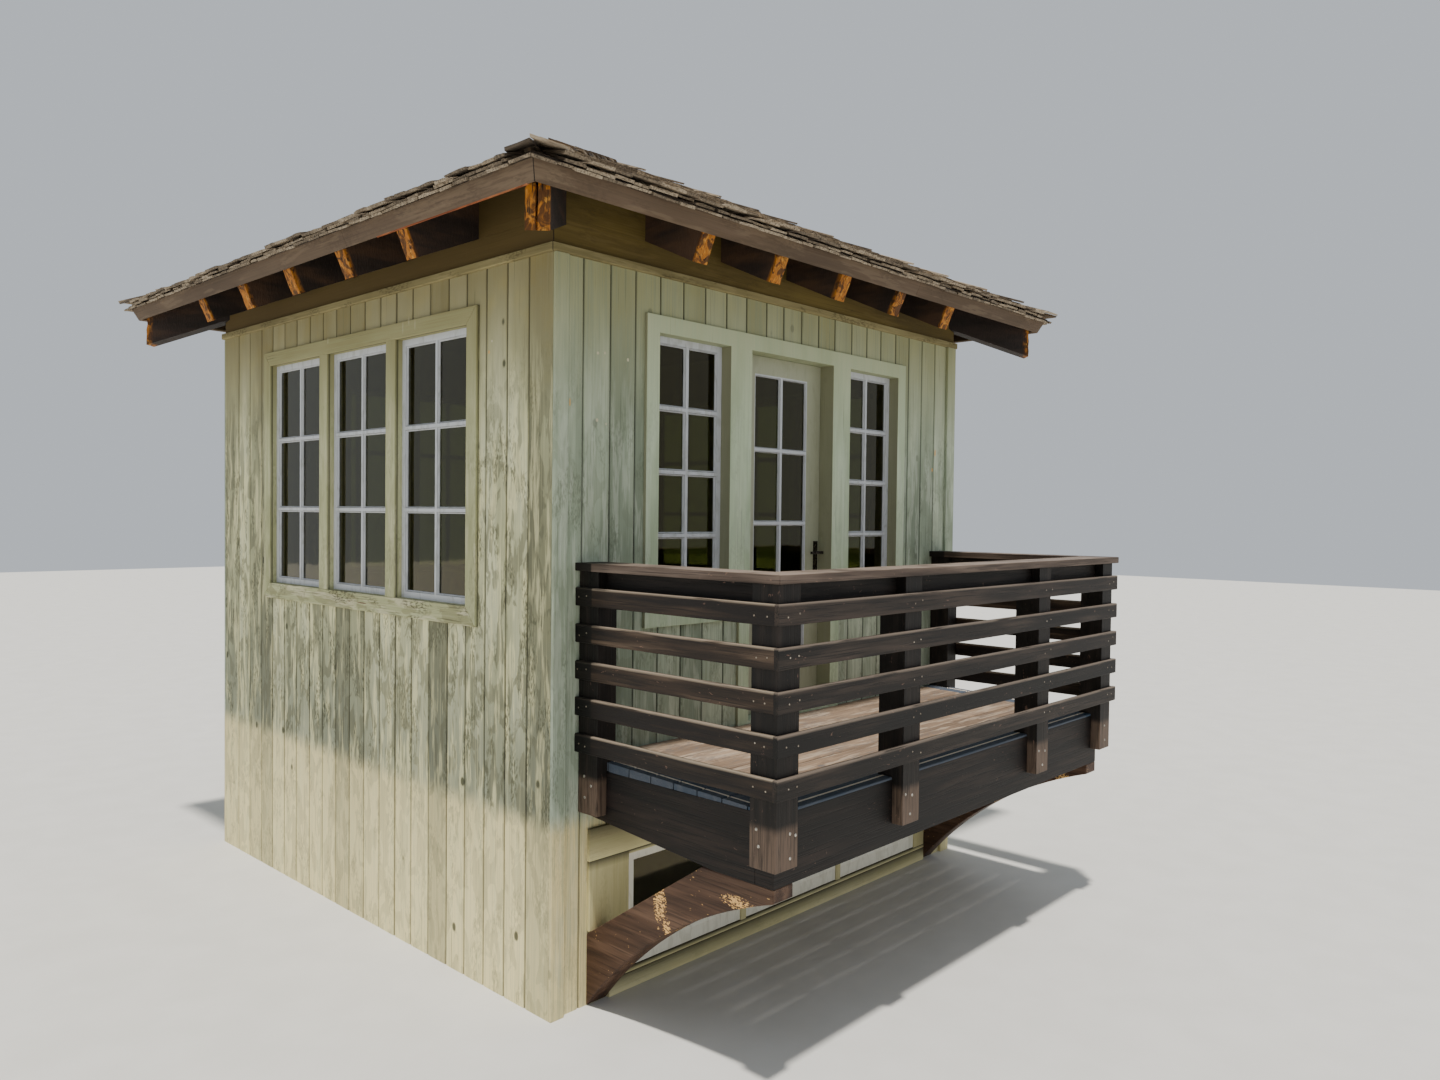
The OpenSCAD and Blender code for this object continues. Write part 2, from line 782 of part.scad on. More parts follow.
// Long plate with a round neck and a lever that points to the hinges
module door_handle() {
    plate = [38, 6, 183];
    neck_r = 9;
    neck_l = 40;
    x = door_x0 + door_w - door_gap - 36;
    color("#4a3d30") placed() on_front() translate([x, door_recess, deck_z + lever_h]) {
        translate([-plate[0] / 2, -plate[1], -plate[2] * 0.62]) cube(plate);
        translate([0, -plate[1], 0]) rotate([90, 0, 0]) cylinder(h = neck_l, r = neck_r, $fn = 32);
        translate([-neck_r, -plate[1] - neck_l - 14, -neck_r]) cube([2 * neck_r, 14, 2 * neck_r]);
        translate([-105, -plate[1] - neck_l - 12, -8]) cube([100, 10, 16]);
    }
}

// Casing, base board and mullions of the lower window strip, and the boards over the braces
module lower_casing() {
    x1 = lower_x0 + lower_group;
    color(SAGE_LIGHT) placed() on_front() difference() {
        union() {
            hole(lower_x0 - lower_casing_w, x1 + lower_casing_w, 0, lower_z1 + lower_head_h,
                 -trim_t, 0);
            for (i = [1 : 2])
                hole(lower_x0 + i * (lower_w + lower_mullion) - lower_mullion,
                     lower_x0 + i * (lower_w + lower_mullion), base_board_h, lower_z1,
                     0, wall_t);
        }
        for (i = [0 : 2])
            hole(lower_x0 + i * (lower_w + lower_mullion),
                 lower_x0 + i * (lower_w + lower_mullion) + lower_w, base_board_h, lower_z1);
    }
    // Upright boards on the siding between the feet of the braces and the side beams
    foot = brace_foot + trim_t * brace_top_slope + mitre;
    color(SAGE_LIGHT) placed() for (x = [beam_x0, beam_x1 - brace_t])
        hole(x, x + brace_t, foot, side_beam_foot, -trim_t, 0);
}

module lower_sashes() {
    color(SASH_WHITE) placed() on_front() for (i = [0 : 2])
        sash(lower_x0 + i * (lower_w + lower_mullion), lower_w, base_board_h, lower_z1,
             side_recess, 1, 1);
}

module floor_boards() {
    color(BOARD) placed() translate([wall_t, wall_t, floor_z - floor_t])
        cube([wall_w - 2 * wall_t, wall_d - 2 * wall_t, floor_t]);
}

module floor_joists() {
    span = wall_w - 2 * wall_t - joist_t;
    color(BOARD) placed() for (i = [0 : floor_joist_n - 1])
        translate([wall_t + i * span / (floor_joist_n - 1), wall_t,
                   floor_z - floor_t - floor_joist_h])
            cube([joist_t, wall_d - 2 * wall_t, floor_joist_h]);
}

// Posts: the corners, the two inner ones of the front and the two against the wall
module post_at(x, y, w, d, margin = 0) {
    translate([x - margin, y - margin, post_foot_z])
        cube([w + 2 * margin, d + 2 * margin, rail_under - post_foot_z]);
}

module all_posts(margin = 0) {
    for (x = [post_x0, balcony_x + inner_post_1 - post_w / 2,
              balcony_x + inner_post_2 - post_w / 2, post_x1 - post_w])
        post_at(x, post_y0, post_w, post_w, margin);
    for (x = [post_x0, post_x1 - wall_post_w])
        post_at(x, -post_w - mitre, wall_post_w, post_w, margin);
}

module beams() {
    translate([beam_x0, beam_y0, beam_z0]) cube([beam_x1 - beam_x0, beam_t, beam_h]);
    for (x = [beam_x0, beam_x1 - beam_t])
        translate([x, 0, 0]) rotate([90, 0, 90]) linear_extrude(beam_t) polygon([
            [beam_y0, beam_z0], [-beam_taper_l, beam_z0], [0, beam_z0 + beam_taper_h],
            [0, beam_top], [beam_y0, beam_top]
        ]);
}

module rim_beams() {
    color(STAIN) placed() difference() {
        beams();
        // Butt joint between the side beams and the back of the front one
        translate([beam_x0 - 1, beam_y0 + beam_t, beam_z0 - 1])
            cube([beam_x1 - beam_x0 + 2, mitre, beam_h + 2]);
    }
}

module rail_posts() {
    color(STAIN) placed() difference() {
        all_posts();
        beams();
        translate([beam_x0, beam_y0, post_foot_z - 1])
            cube([beam_x1 - beam_x0, -beam_y0, deck_z - post_foot_z - deck_t + 1]);
    }
}

module deck_boards() {
    color(DECKING) placed() difference() {
        for (i = [0 : deck_n - 1])
            translate([beam_x0, beam_y0 + i * (deck_board_w + deck_gap), beam_top])
                cube([beam_x1 - beam_x0, deck_board_w, deck_t]);
        all_posts(1);
    }
}

module deck_joists() {
    inner = beam_x1 - beam_x0 - 2 * beam_t;
    step = inner / (deck_joist_n + 1);
    color(STAIN) placed() {
        // Ledger against the wall
        translate([beam_x0 + beam_t + mitre, -joist_t, beam_top - deck_joist_h])
            cube([inner - 2 * mitre, joist_t, deck_joist_h]);
        for (i = [1 : deck_joist_n])
            translate([beam_x0 + beam_t + i * step - joist_t / 2, beam_y0 + beam_t + mitre,
                       beam_top - deck_joist_h])
                cube([joist_t, deck_run - beam_t - joist_t - 2 * mitre, deck_joist_h]);
    }
}

module front_slats() {
    color(STAIN_LIGHT) placed() for (i = [0 : slat_n - 1])
        translate([balcony_x, -balcony_d, slat_z0 + i * slat_pitch])
            cube([balcony_w, slat_t, slat_h]);
}

module side_slats() {
    run = balcony_d - slat_t - mitre;
    color(STAIN_LIGHT) placed() for (i = [0 : slat_n - 1])
        for (x = [balcony_x, balcony_x + balcony_w - slat_t])
            translate([x, -run, slat_z0 + i * slat_pitch]) cube([slat_t, run - mitre, slat_h]);
}

// Boards on edge under the cap rail, in the middle of the posts and cut to fit between them
module sub_rails() {
    in = (post_w - sub_rail_t) / 2;
    color(STAIN) placed() difference() {
        union() {
            translate([post_x0 + in, post_y0 + in, rail_under - sub_rail_h])
                cube([post_x1 - post_x0 - 2 * in, sub_rail_t, sub_rail_h]);
            for (x = [post_x0 + in, post_x1 - in - sub_rail_t])
                translate([x, post_y0 + in, rail_under - sub_rail_h])
                    cube([sub_rail_t, -post_y0 - in, sub_rail_h]);
        }
        all_posts(mitre);
    }
}

// Three boards with mitred corners, laid flat over the posts and the top slats
module cap_rail() {
    x0 = balcony_x - cap_rail_nose;
    x1 = balcony_x + balcony_w + cap_rail_nose;
    y0 = -balcony_d - cap_rail_nose;
    w = cap_rail_w;
    color(STAIN_LIGHT) placed() translate([0, 0, rail_under]) linear_extrude(cap_rail_t) {
        polygon([[x0 + mitre, y0], [x1 - mitre, y0], [x1 - w - mitre, y0 + w],
                 [x0 + w + mitre, y0 + w]]);
        polygon([[x0, y0 + mitre], [x0 + w, y0 + w + mitre], [x0 + w, -mitre], [x0, -mitre]]);
        polygon([[x1, y0 + mitre], [x1 - w, y0 + w + mitre], [x1 - w, -mitre], [x1, -mitre]]);
    }
}

// Knee brace with a straight back, a level head under the beam and an arched underside
module brace_side() {
    nose_y = -beam_y0;
    head_y = nose_y - brace_head;
    tip_z = beam_z0 - brace_nose;
    chord = sqrt(nose_y * nose_y + tip_z * tip_z);
    tilt = atan(tip_z / nose_y);
    centre_back = sqrt(brace_r * brace_r - chord * chord / 4);
    cx = nose_y / 2 + centre_back * sin(tilt);
    cz = tip_z / 2 - centre_back * cos(tilt);
    difference() {
        polygon([[0, 0], [nose_y, 0], [nose_y, beam_z0], [head_y, beam_z0], [0, brace_foot]]);
        translate([cx, cz]) circle(r = brace_r, $fn = 180);
        translate([0, -1]) square([nose_y, 1]);
    }
}

module knee_braces() {
    color(STAIN_LIGHT) placed() for (x = [beam_x0, beam_x1 - brace_t])
        translate([x, 0, 0]) rotate([90, 0, -90]) translate([0, 0, -brace_t])
            linear_extrude(brace_t) brace_side();
}

front_wall();
back_wall();
left_wall();
right_wall();
corner_boards();
wall_plates();
frieze_boards();
eave_moulding();
eave_blocking();
common_rafters();
hip_rafters();
peak_block();
roof_boards();
fascia_boards();
front_shakes();
back_shakes();
left_shakes();
right_shakes();
hip_caps();
front_casing();
back_casing();
left_casing();
right_casing();
sidelight_sashes();
back_sashes();
left_sashes();
right_sashes();
window_glass();
door_leaf();
door_handle();
lower_casing();
lower_sashes();
floor_boards();
floor_joists();
deck_boards();
deck_joists();
rim_beams();
rail_posts();
front_slats();
side_slats();
sub_rails();
cap_rail();
knee_braces();
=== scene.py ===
"""Looks of a roof cupola with a balcony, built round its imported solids.

Metres, +Z up. The front left corner of the walls, on the ground line, is the corner that
every size here is counted from: s runs along a wall, d goes inwards from its siding.
Timber sizes are in metres, and the sizes of patterns in the finishes are in millimetres.
"""

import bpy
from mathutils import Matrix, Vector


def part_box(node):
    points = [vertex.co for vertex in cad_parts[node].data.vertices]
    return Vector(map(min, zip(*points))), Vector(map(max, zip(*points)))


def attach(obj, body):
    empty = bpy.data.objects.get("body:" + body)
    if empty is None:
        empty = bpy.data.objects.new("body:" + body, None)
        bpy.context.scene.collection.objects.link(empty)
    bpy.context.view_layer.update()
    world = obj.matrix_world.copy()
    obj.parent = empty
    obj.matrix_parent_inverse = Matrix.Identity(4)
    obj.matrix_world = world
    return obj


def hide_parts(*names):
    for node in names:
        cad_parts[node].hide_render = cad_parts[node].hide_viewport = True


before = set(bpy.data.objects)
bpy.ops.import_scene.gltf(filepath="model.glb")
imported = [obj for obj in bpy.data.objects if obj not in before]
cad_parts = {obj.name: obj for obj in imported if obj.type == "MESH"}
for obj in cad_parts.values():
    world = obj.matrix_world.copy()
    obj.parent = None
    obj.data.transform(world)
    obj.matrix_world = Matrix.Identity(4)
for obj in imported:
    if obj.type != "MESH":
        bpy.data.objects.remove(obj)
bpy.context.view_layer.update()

import logging
import math
from dataclasses import dataclass, field, replace
from enum import Enum
from typing import Any, Sequence

import bpy
import numpy as np
from mathutils import Matrix

LOG = logging.getLogger("cupola")
Array = np.ndarray
Link = bpy.types.NodeSocket
Tree = bpy.types.NodeTree
Coat = tuple[Link, str, float]
Four = tuple[float, float, float, float]
MM = 0.001
# Front left corner of the walls on the ground line, and the top of the front wall
CORNER = np.array([*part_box("front_wall")[0][:2], 0.0])
CORE_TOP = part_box("front_wall")[1].z
# Middle of the triple window of a side wall, from the front corner
SIDE_WINDOW = 1.847


def spread(x: Array | float, y: Array | float, z: Array | float) -> Array:
    """Points from x, y and z, each a number or an array, with the three of them last."""
    return np.stack(np.broadcast_arrays(x, y, z), -1)


# Colour and node wiring


def linear(colour: str) -> Four:
    """Turn an sRGB hex colour into linear light.

    Args:
        colour: Six hex digits after a hash sign.

    Returns:
        Red, green, blue and an alpha of one, by the sRGB curve: the cut value over 12.92
        below 0.04045, and ((value + 0.055) / 1.055) to the power of 2.4 above it.
    """
    values = [int(colour[i : i + 2], 16) / 255 for i in (1, 3, 5)]
    red, green, blue = (
        v / 12.92 if v <= 0.04045 else ((v + 0.055) / 1.055) ** 2.4 for v in values
    )
    return (red, green, blue, 1.0)


def add(
    tree: Tree,
    kind: str,
    inputs: dict[str | int, Any] | None = None,
    stops: Sequence[tuple[float, str]] = (),
    **settings: Any,
) -> bpy.types.Node:
    """Add one node with its input values or links, its colour stops and its settings.

    Args:
        tree: Node tree that takes the node.
        kind: Blender's type name of the node, without ShaderNode before it.
        inputs: Inputs by name or place. A socket is linked, a hex colour is made linear,
            and any other value is set.
        stops: Places and hex colours of a colour ramp.
        settings: Properties of the node by name.

    Returns:
        The node.
    """
    made = tree.nodes.new("ShaderNode" + kind)
    for key, value in settings.items():
        setattr(made, key, value)
    for key, value in (inputs or {}).items():
        socket = made.inputs[key]
        if isinstance(value, bpy.types.NodeSocket):
            tree.links.new(value, socket)
        else:
            socket.default_value = linear(value) if isinstance(value, str) else value
    for place, (position, colour) in enumerate(stops):
        steps = made.color_ramp.elements
        step = steps[place] if place < 2 else steps.new(position)
        step.position, step.color = position, linear(colour)
    return made


class Grain(Enum):
    """Way that the grain of a piece runs, as the axis along which patterns are long."""

    ALONG_X = (1, 0, 0)
    ALONG_Y = (0, 1, 0)
    UPRIGHT = (0, 0, 1)
    LEVEL = (1, 1, 0)


def surface(tree: Tree, grain: Grain, cell: tuple[float, float]) -> Link:
    """Give the pattern space of a timber: the point plus the board's own shift, scaled.

    Args:
        tree: Node tree of the material.
        grain: Way that the grain runs.
        cell: Size of a pattern cell across the grain and along it, in millimetres.

    Returns:
        Vector in which one pattern cell measures one.
    """
    across, along = cell
    point = add(tree, "TexCoord").outputs["Object"]
    own = add(tree, "Attribute", attribute_name="own").outputs["Vector"]
    moved = add(tree, "VectorMath", {0: point, 1: own}, operation="ADD")
    scale = [1000 / (along if axis else across) for axis in grain.value]
    return add(tree, "Mapping", {"Vector": moved.outputs[0], "Scale": scale}).outputs[0]


def patches(
    tree: Tree,
    grain: Grain,
    cell: tuple[float, float],
    low: float,
    high: float,
    detail: float = 4.0,
    bend: float = 0.0,
    within: Link | None = None,
) -> Link:
    """Mask of irregular patches: noise that is 0 below one level and 1 above another.

    Args:
        tree: Node tree of the material.
        grain: Way that the grain runs.
        cell: Size of a patch across the grain and along it, in millimetres.
        low: Noise level at which a patch starts. Half of the surface is over 0.5.
        high: Noise level at which a patch is full.
        detail: Octaves of finer noise that fray the edge.
        bend: How far the noise bends itself.
        within: Another mask that holds the patches in: the two are multiplied.

    Returns:
        Factor from 0 to 1.
    """
    space = surface(tree, grain, cell)
    noise = add(
        tree, "TexNoise", {"Vector": space, "Scale": 1.0, "Detail": detail, "Distortion": bend}
    )
    mask = add(
        tree, "MapRange", {"Value": noise.outputs[0], "From Min": low, "From Max": high},
        interpolation_type="SMOOTHSTEP",
    ).outputs[0]
    if within is None:
        return mask
    return add(tree, "Math", {0: mask, 1: within}, operation="MULTIPLY").outputs[0]


def zone(tree: Tree, low: float, high: float, axis: int = 2) -> Link:
    """Mask that rises from 0 at one place of an axis to 1 at another.

    Args:
        tree: Node tree of the material.
        low: Place where the mask is 0, in metres.
        high: Place where the mask is 1, which may be the lower of the two.
        axis: Axis of the scene: 0, 1 or 2.

    Returns:
        Factor from 0 to 1.
    """
    point = add(tree, "TexCoord").outputs["Object"]
    parts = add(tree, "SeparateXYZ", {0: point})
    return add(
        tree, "MapRange", {"Value": parts.outputs[axis], "From Min": low, "From Max": high},
        interpolation_type="SMOOTHSTEP",
    ).outputs[0]


def mitres(tree: Tree, width: float) -> Link:
    """Mask of the four upright planes in which boards meet round the corners.

    In plan the planes are the lines where the distance in from the long wall equals that
    from the short wall.

    Args:
        tree: Node tree of the material.
        width: Width of the open joint in metres.

    Returns:
        Mask that is 1 in the joint.
    """
    place = add(tree, "TexCoord").outputs["Object"]
    parts = add(tree, "SeparateXYZ", {0: place})
    low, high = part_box("front_wall")[0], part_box("back_wall")[1]
    middle = (low.y + high.y) / 2
    shift = add(tree, "Math", {0: parts.outputs[1], 1: middle}, operation="SUBTRACT")
    across = add(tree, "Math", {0: parts.outputs[0]}, operation="ABSOLUTE")
    along = add(tree, "Math", {0: shift.outputs[0]}, operation="ABSOLUTE")
    apart = add(tree, "Math", {0: across.outputs[0], 1: along.outputs[0]}, operation="SUBTRACT")
    return add(
        tree, "Math", {0: apart.outputs[0], 1: high.x - (high.y - middle), 2: width / 2},
        operation="COMPARE",
    ).outputs[0]


def coats(tree: Tree, base: Link | str, layers: Sequence[Coat]) -> Link:
    """Lay coats of colour over a base, each through a mask and at its own strength.

    Args:
        tree: Node tree of the material.
        base: Colour link or hex colour underneath.
        layers: Mask, hex colour and strength of each coat, from the lowest up.

    Returns:
        Colour link on top of all coats.
    """
    top = base
    for mask, colour, strength in layers:
        share = add(tree, "Math", {0: mask, 1: strength}, operation="MULTIPLY")
        top = add(
            tree, "Mix", {0: share.outputs[0], 6: top, 7: colour}, data_type="RGBA"
        ).outputs[2]
    return top


def board_tone(
    tree: Tree, grain: Grain, cell: tuple[float, float], tones: Sequence[str], spread: float
) -> Link:
    """Colour of each board: its own tone plus slow noise, read off three colours.

    Args:
        tree: Node tree of the material.
        grain: Way that the grain runs.
        cell: Size of the slow noise across the grain and along it, in millimetres.
        tones: Hex colours of the darkest, an average and the palest boards.
        spread: Share of the tone that varies from board to board.

    Returns:
        Colour link.
    """
    dark, base, light = tones
    own = add(tree, "Attribute", attribute_name="tone").outputs["Fac"]
    slow = add(
        tree, "TexNoise", {"Vector": surface(tree, grain, cell), "Scale": 1.0, "Detail": 3.0}
    )
    mixed = add(tree, "Math", {0: own, 1: spread, 2: slow.outputs[0]}, operation="MULTIPLY_ADD")
    return add(
        tree, "ValToRGB", {0: mixed.outputs[0]}, [(0.3, dark), (0.7, light), (0.5, base)]
    ).outputs[0]


def close(
    tree: Tree,
    colour: Link | str,
    roughness: Link | float,
    relief: Link | None = None,
    depth: float = 0.0,
    constants: dict[str, Any] | None = None,
) -> None:
    """Join colour, roughness and relief to the surface shader and the output.

    Args:
        tree: Node tree of the material.
        colour: Base colour link or hex colour.
        roughness: Roughness link or value.
        relief: Height link of the bump, if there is one.
        depth: Height of the bump in millimetres.
        constants: Values set on the shader's own sockets.
    """
    inputs: dict[str | int, Any] = {"Base Color": colour, "Roughness": roughness}
    if relief is not None:
        bump = add(tree, "Bump", {"Height": relief, "Distance": depth * MM, "Strength": 1.0})
        inputs["Normal"] = bump.outputs[0]
    shader = add(tree, "BsdfPrincipled", {**inputs, **(constants or {})})
    add(tree, "OutputMaterial", {"Surface": shader.outputs[0]})


def facing(tree: Tree, axis: int) -> Link:
    """Part of a face's outward way that lies along an axis, from -1 to 1."""
    looks = add(tree, "NewGeometry").outputs["Normal"]
    return add(tree, "SeparateXYZ", {0: looks}).outputs[axis]


# Finishes


@dataclass(frozen=True)
class Finish:
    """A finish by name. Each kind of finish wires its own node tree."""

    name: str
    grain: Grain = Grain.UPRIGHT

    def along(self, grain: Grain) -> "Finish":
        """The same finish on timber whose grain runs another way."""
        return replace(self, grain=grain)

    def wire(self, tree: Tree) -> None:
        """Wire the node tree. Each kind of finish has its own.

        Args:
            tree: Node tree of the material.
        """
        raise NotImplementedError

    def material(self) -> bpy.types.Material:
        """Make the material, or give the one that was made before.

        Returns:
            Material named for the finish and the way of its grain.
        """
        title = f"{self.name}_{self.grain.name.lower()}"
        found = bpy.data.materials.get(title)
        if found is None:
            found = bpy.data.materials.new(title)
            found.use_nodes = True
            found.node_tree.nodes.clear()
            self.wire(found.node_tree)
        return found


@dataclass(frozen=True)
class WeatheredStain(Finish):
    """Thin stain or paint on softwood boards: tones, raised grain, mildew, bare patches.

    The stain is matt and lets the grain through. Water leaves grey-green streaks that run
    along the board, and sun bares pale patches with frayed edges. Sunlight is painted pale
    on the foot of a wall, the shade of the eaves is painted olive and darker at its top, and
    a band low on it is cooler and darker with damp and painted shade. Grooves are darkened
    with dirt and painted shade, and faces that look along the front may get painted shade.
    Bands and sizes are in metres, and a share is the strength of a coat.
    """

    dark: str = "#94936f"
    base: str = "#c5c598"
    light: str = "#e8e8be"
    old: str = "#74725a"
    mildew: str = "#45462f"
    bare: str = "#f0ebb6"
    # Colour of the top of a wall: painted shade of the eaves, olive and darker
    upper: str = "#877640"
    # Colour of a band low on a wall: damp and painted shade, cooler and darker
    damp: str = "#6f7566"
    # Colour of the foot of a wall: painted sunlight, pale cream
    foot: str = "#fff0b4"
    spread: float = 0.6
    fibre_share: float = 0.4
    old_share: float = 0.6
    mildew_share: float = 0.6
    bare_share: float = 0.65
    eave_shade_share: float = 0.65
    damp_and_shade_share: float = 0.0
    painted_sun_share: float = 0.0
    odd_share: float = 0.0
    eave_shade_band: tuple[float, float] = (2.7, 3.7)
    damp_and_shade_band: tuple[float, float] = (2.1, 1.0)
    painted_sun_band: tuple[float, float] = (0.99, 0.86)
    # Noise level at which checks start, and their length in millimetres
    check: float = 0.67
    check_length: float = 700
    knots: float = 0.7
    # Height over which no streak runs, and the height in which they gain strength
    top: float = 3.4
    fade: float = 0.9
    # Colour where the points' wear is 1, in grooves and at the edges of casings: dirt and painted
    # shade
    dirt: str = "#1d1b12"
    # Colours of a deck's rim, painted shade of the railing, and of a pale line in it, painted
    # sunlight, and where they start and stop from its edge
    rim: str = ""
    painted_sun_line: str = "#efe0cc"
    rim_bands: tuple[tuple[float, float], ...] = ((0.152, 0.148), (0.055, 0.054), (0.041, 0.042))
    # Width and colour of the open mitres, and colour of painted shade on faces that look along the
    # front
    joint: float = 0.0
    shadow: str = "#120d09"
    sideways_shade: str = ""
    roughness: float = 0.8
    relief: float = 0.6

    def streaks(self, tree: Tree) -> list[Coat]:
        """Give the coats that run with the grain, from the lowest up.

        Args:
            tree: Node tree of the material.

        Returns:
            Mask, hex colour and strength of each coat.
        """
        low = zone(tree, self.top, self.top - self.fade)
        # Streaks are weaker, at 40 per cent, in the band at the foot of the wall where sunlight is
        # painted
        foot = zone(tree, *self.painted_sun_band[::-1])
        half = add(tree, "Math", {0: foot, 1: 0.6, 2: 0.4}, operation="MULTIPLY_ADD")
        low = add(tree, "Math", {0: low, 1: half.outputs[0]}, operation="MULTIPLY").outputs[0]
        # Grain lines are a millimetre apart, drawn 8 mm apart so that they show
        fibres = patches(tree, self.grain, (8, 500), 0.42, 0.66, 4.0)
        pale = patches(tree, self.grain, (9, 650), 0.52, 0.7, 3.0, within=low)
        # Old stain holds on in patches about as wide as a board and a hand high
        old = patches(tree, self.grain, (75, 190), 0.49, 0.55, 8.0, 0.9, within=low)
        frayed = patches(tree, self.grain, (14, 150), 0.36, 0.54, 5.0, within=low)
        bare = patches(tree, self.grain, (60, 420), 0.5, 0.58, 6.0, within=frayed)
        # Mildew is a stipple 3 mm wide, drawn 9 mm wide, inside patches low down
        damp = patches(tree, self.grain, (100, 300), 0.5, 0.6, 5.0, within=low)
        mildew = patches(tree, self.grain, (9, 28), 0.45, 0.6, 5.0, within=damp)
        low_check, high_check = self.check, self.check + 0.04
        cell = (7, self.check_length)
        checks = patches(tree, self.grain, cell, low_check, high_check, 3.0)
        return [
            (old, self.old, self.old_share),
            (fibres, self.dark, self.fibre_share),
            (bare, self.bare, self.bare_share),
            (pale, self.bare, 0.45 * self.bare_share),
            (mildew, self.mildew, self.mildew_share),
            (checks, self.mildew, 0.55),
        ]

    def wire(self, tree: Tree) -> None:
        """Wire board tones, streaks, knots, grooves with dirt and painted shade, and what depends on
        height.

        Args:
            tree: Node tree of the material.
        """
        # Slow change of tone over about a fifth of a metre
        tones = (self.dark, self.base, self.light)
        colour = board_tone(tree, self.grain, (190, 900), tones, self.spread)
        streaks = self.streaks(tree)
        knot = add(
            tree, "TexVoronoi", {"Vector": surface(tree, self.grain, (230, 330)), "Scale": 1.0}
        )
        ring = add(
            tree, "MapRange",
            {"Value": knot.outputs["Distance"], "From Min": 0.09, "From Max": 0.05},
            interpolation_type="SMOOTHSTEP",
        ).outputs[0]
        # Dirt and painted shade lie in the grooves, where the points' wear is 1
        wear = add(tree, "Attribute", attribute_name="wear").outputs["Fac"]
        dirt = patches(tree, self.grain, (30, 200), 0.1, 0.35, 3.0, within=wear)
        slow = patches(tree, self.grain, (160, 120), 0.2, 0.6, 2.0)
        # Some boards took the stain better than their neighbours
        tone = add(tree, "Attribute", attribute_name="tone").outputs["Fac"]
        under = zone(tree, self.top, self.top - self.fade)
        deep, thin = (
            add(
                tree, "MapRange", {"Value": tone, "From Min": 0.0, "From Max": way, "To Max": under}
            ).outputs[0]
            for way in (-0.5, 0.5)
        )
        colour = coats(
            tree,
            colour,
            [
                # Painted shade of the eaves at the top, damp and painted shade low down, painted
                # sunlight at the foot
                (zone(tree, *self.eave_shade_band), self.upper, self.eave_shade_share),
                (slow, self.damp, 0.3 * self.damp_and_shade_share),
                (zone(tree, *self.damp_and_shade_band), self.damp, self.damp_and_shade_share),
                (zone(tree, *self.painted_sun_band), self.foot, self.painted_sun_share),
                *streaks,
                (deep, self.old, self.odd_share),
                (thin, self.bare, 0.4 * self.odd_share),
                (ring, self.mildew, self.knots),
                (dirt, self.dirt, 0.85),
            ],
        )
        if self.sideways_shade:
            # Painted shade: faces that look along the front get no sun, so they are darkened
            aside = add(tree, "Math", {0: facing(tree, 0)}, operation="ABSOLUTE")
            colour = coats(tree, colour, [(aside.outputs[0], self.sideways_shade, 0.8)])
        if self.joint:
            colour = coats(tree, colour, [(mitres(tree, self.joint), self.shadow, 0.9)])
        if self.rim:
            # Painted shade of the railing: the outer 150 mm of the deck is blue-grey along three
            # sides, with a pale line of painted sunlight
            low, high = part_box("deck_boards")
            for place, way, axis in ((low.x, 1, 0), (high.x, -1, 0), (low.y, 1, 1)):
                edge, inner, outer = (
                    zone(tree, place + way * start, place + way * stop, axis)
                    for start, stop in self.rim_bands
                )
                line = add(tree, "Math", {0: inner, 1: outer}, operation="MULTIPLY").outputs[0]
                layers = [(edge, self.rim, 0.85), (line, self.painted_sun_line, 0.95)]
                colour = coats(tree, colour, layers)
        close(tree, colour, self.roughness, streaks[1][0], self.relief, {"IOR": 1.45})


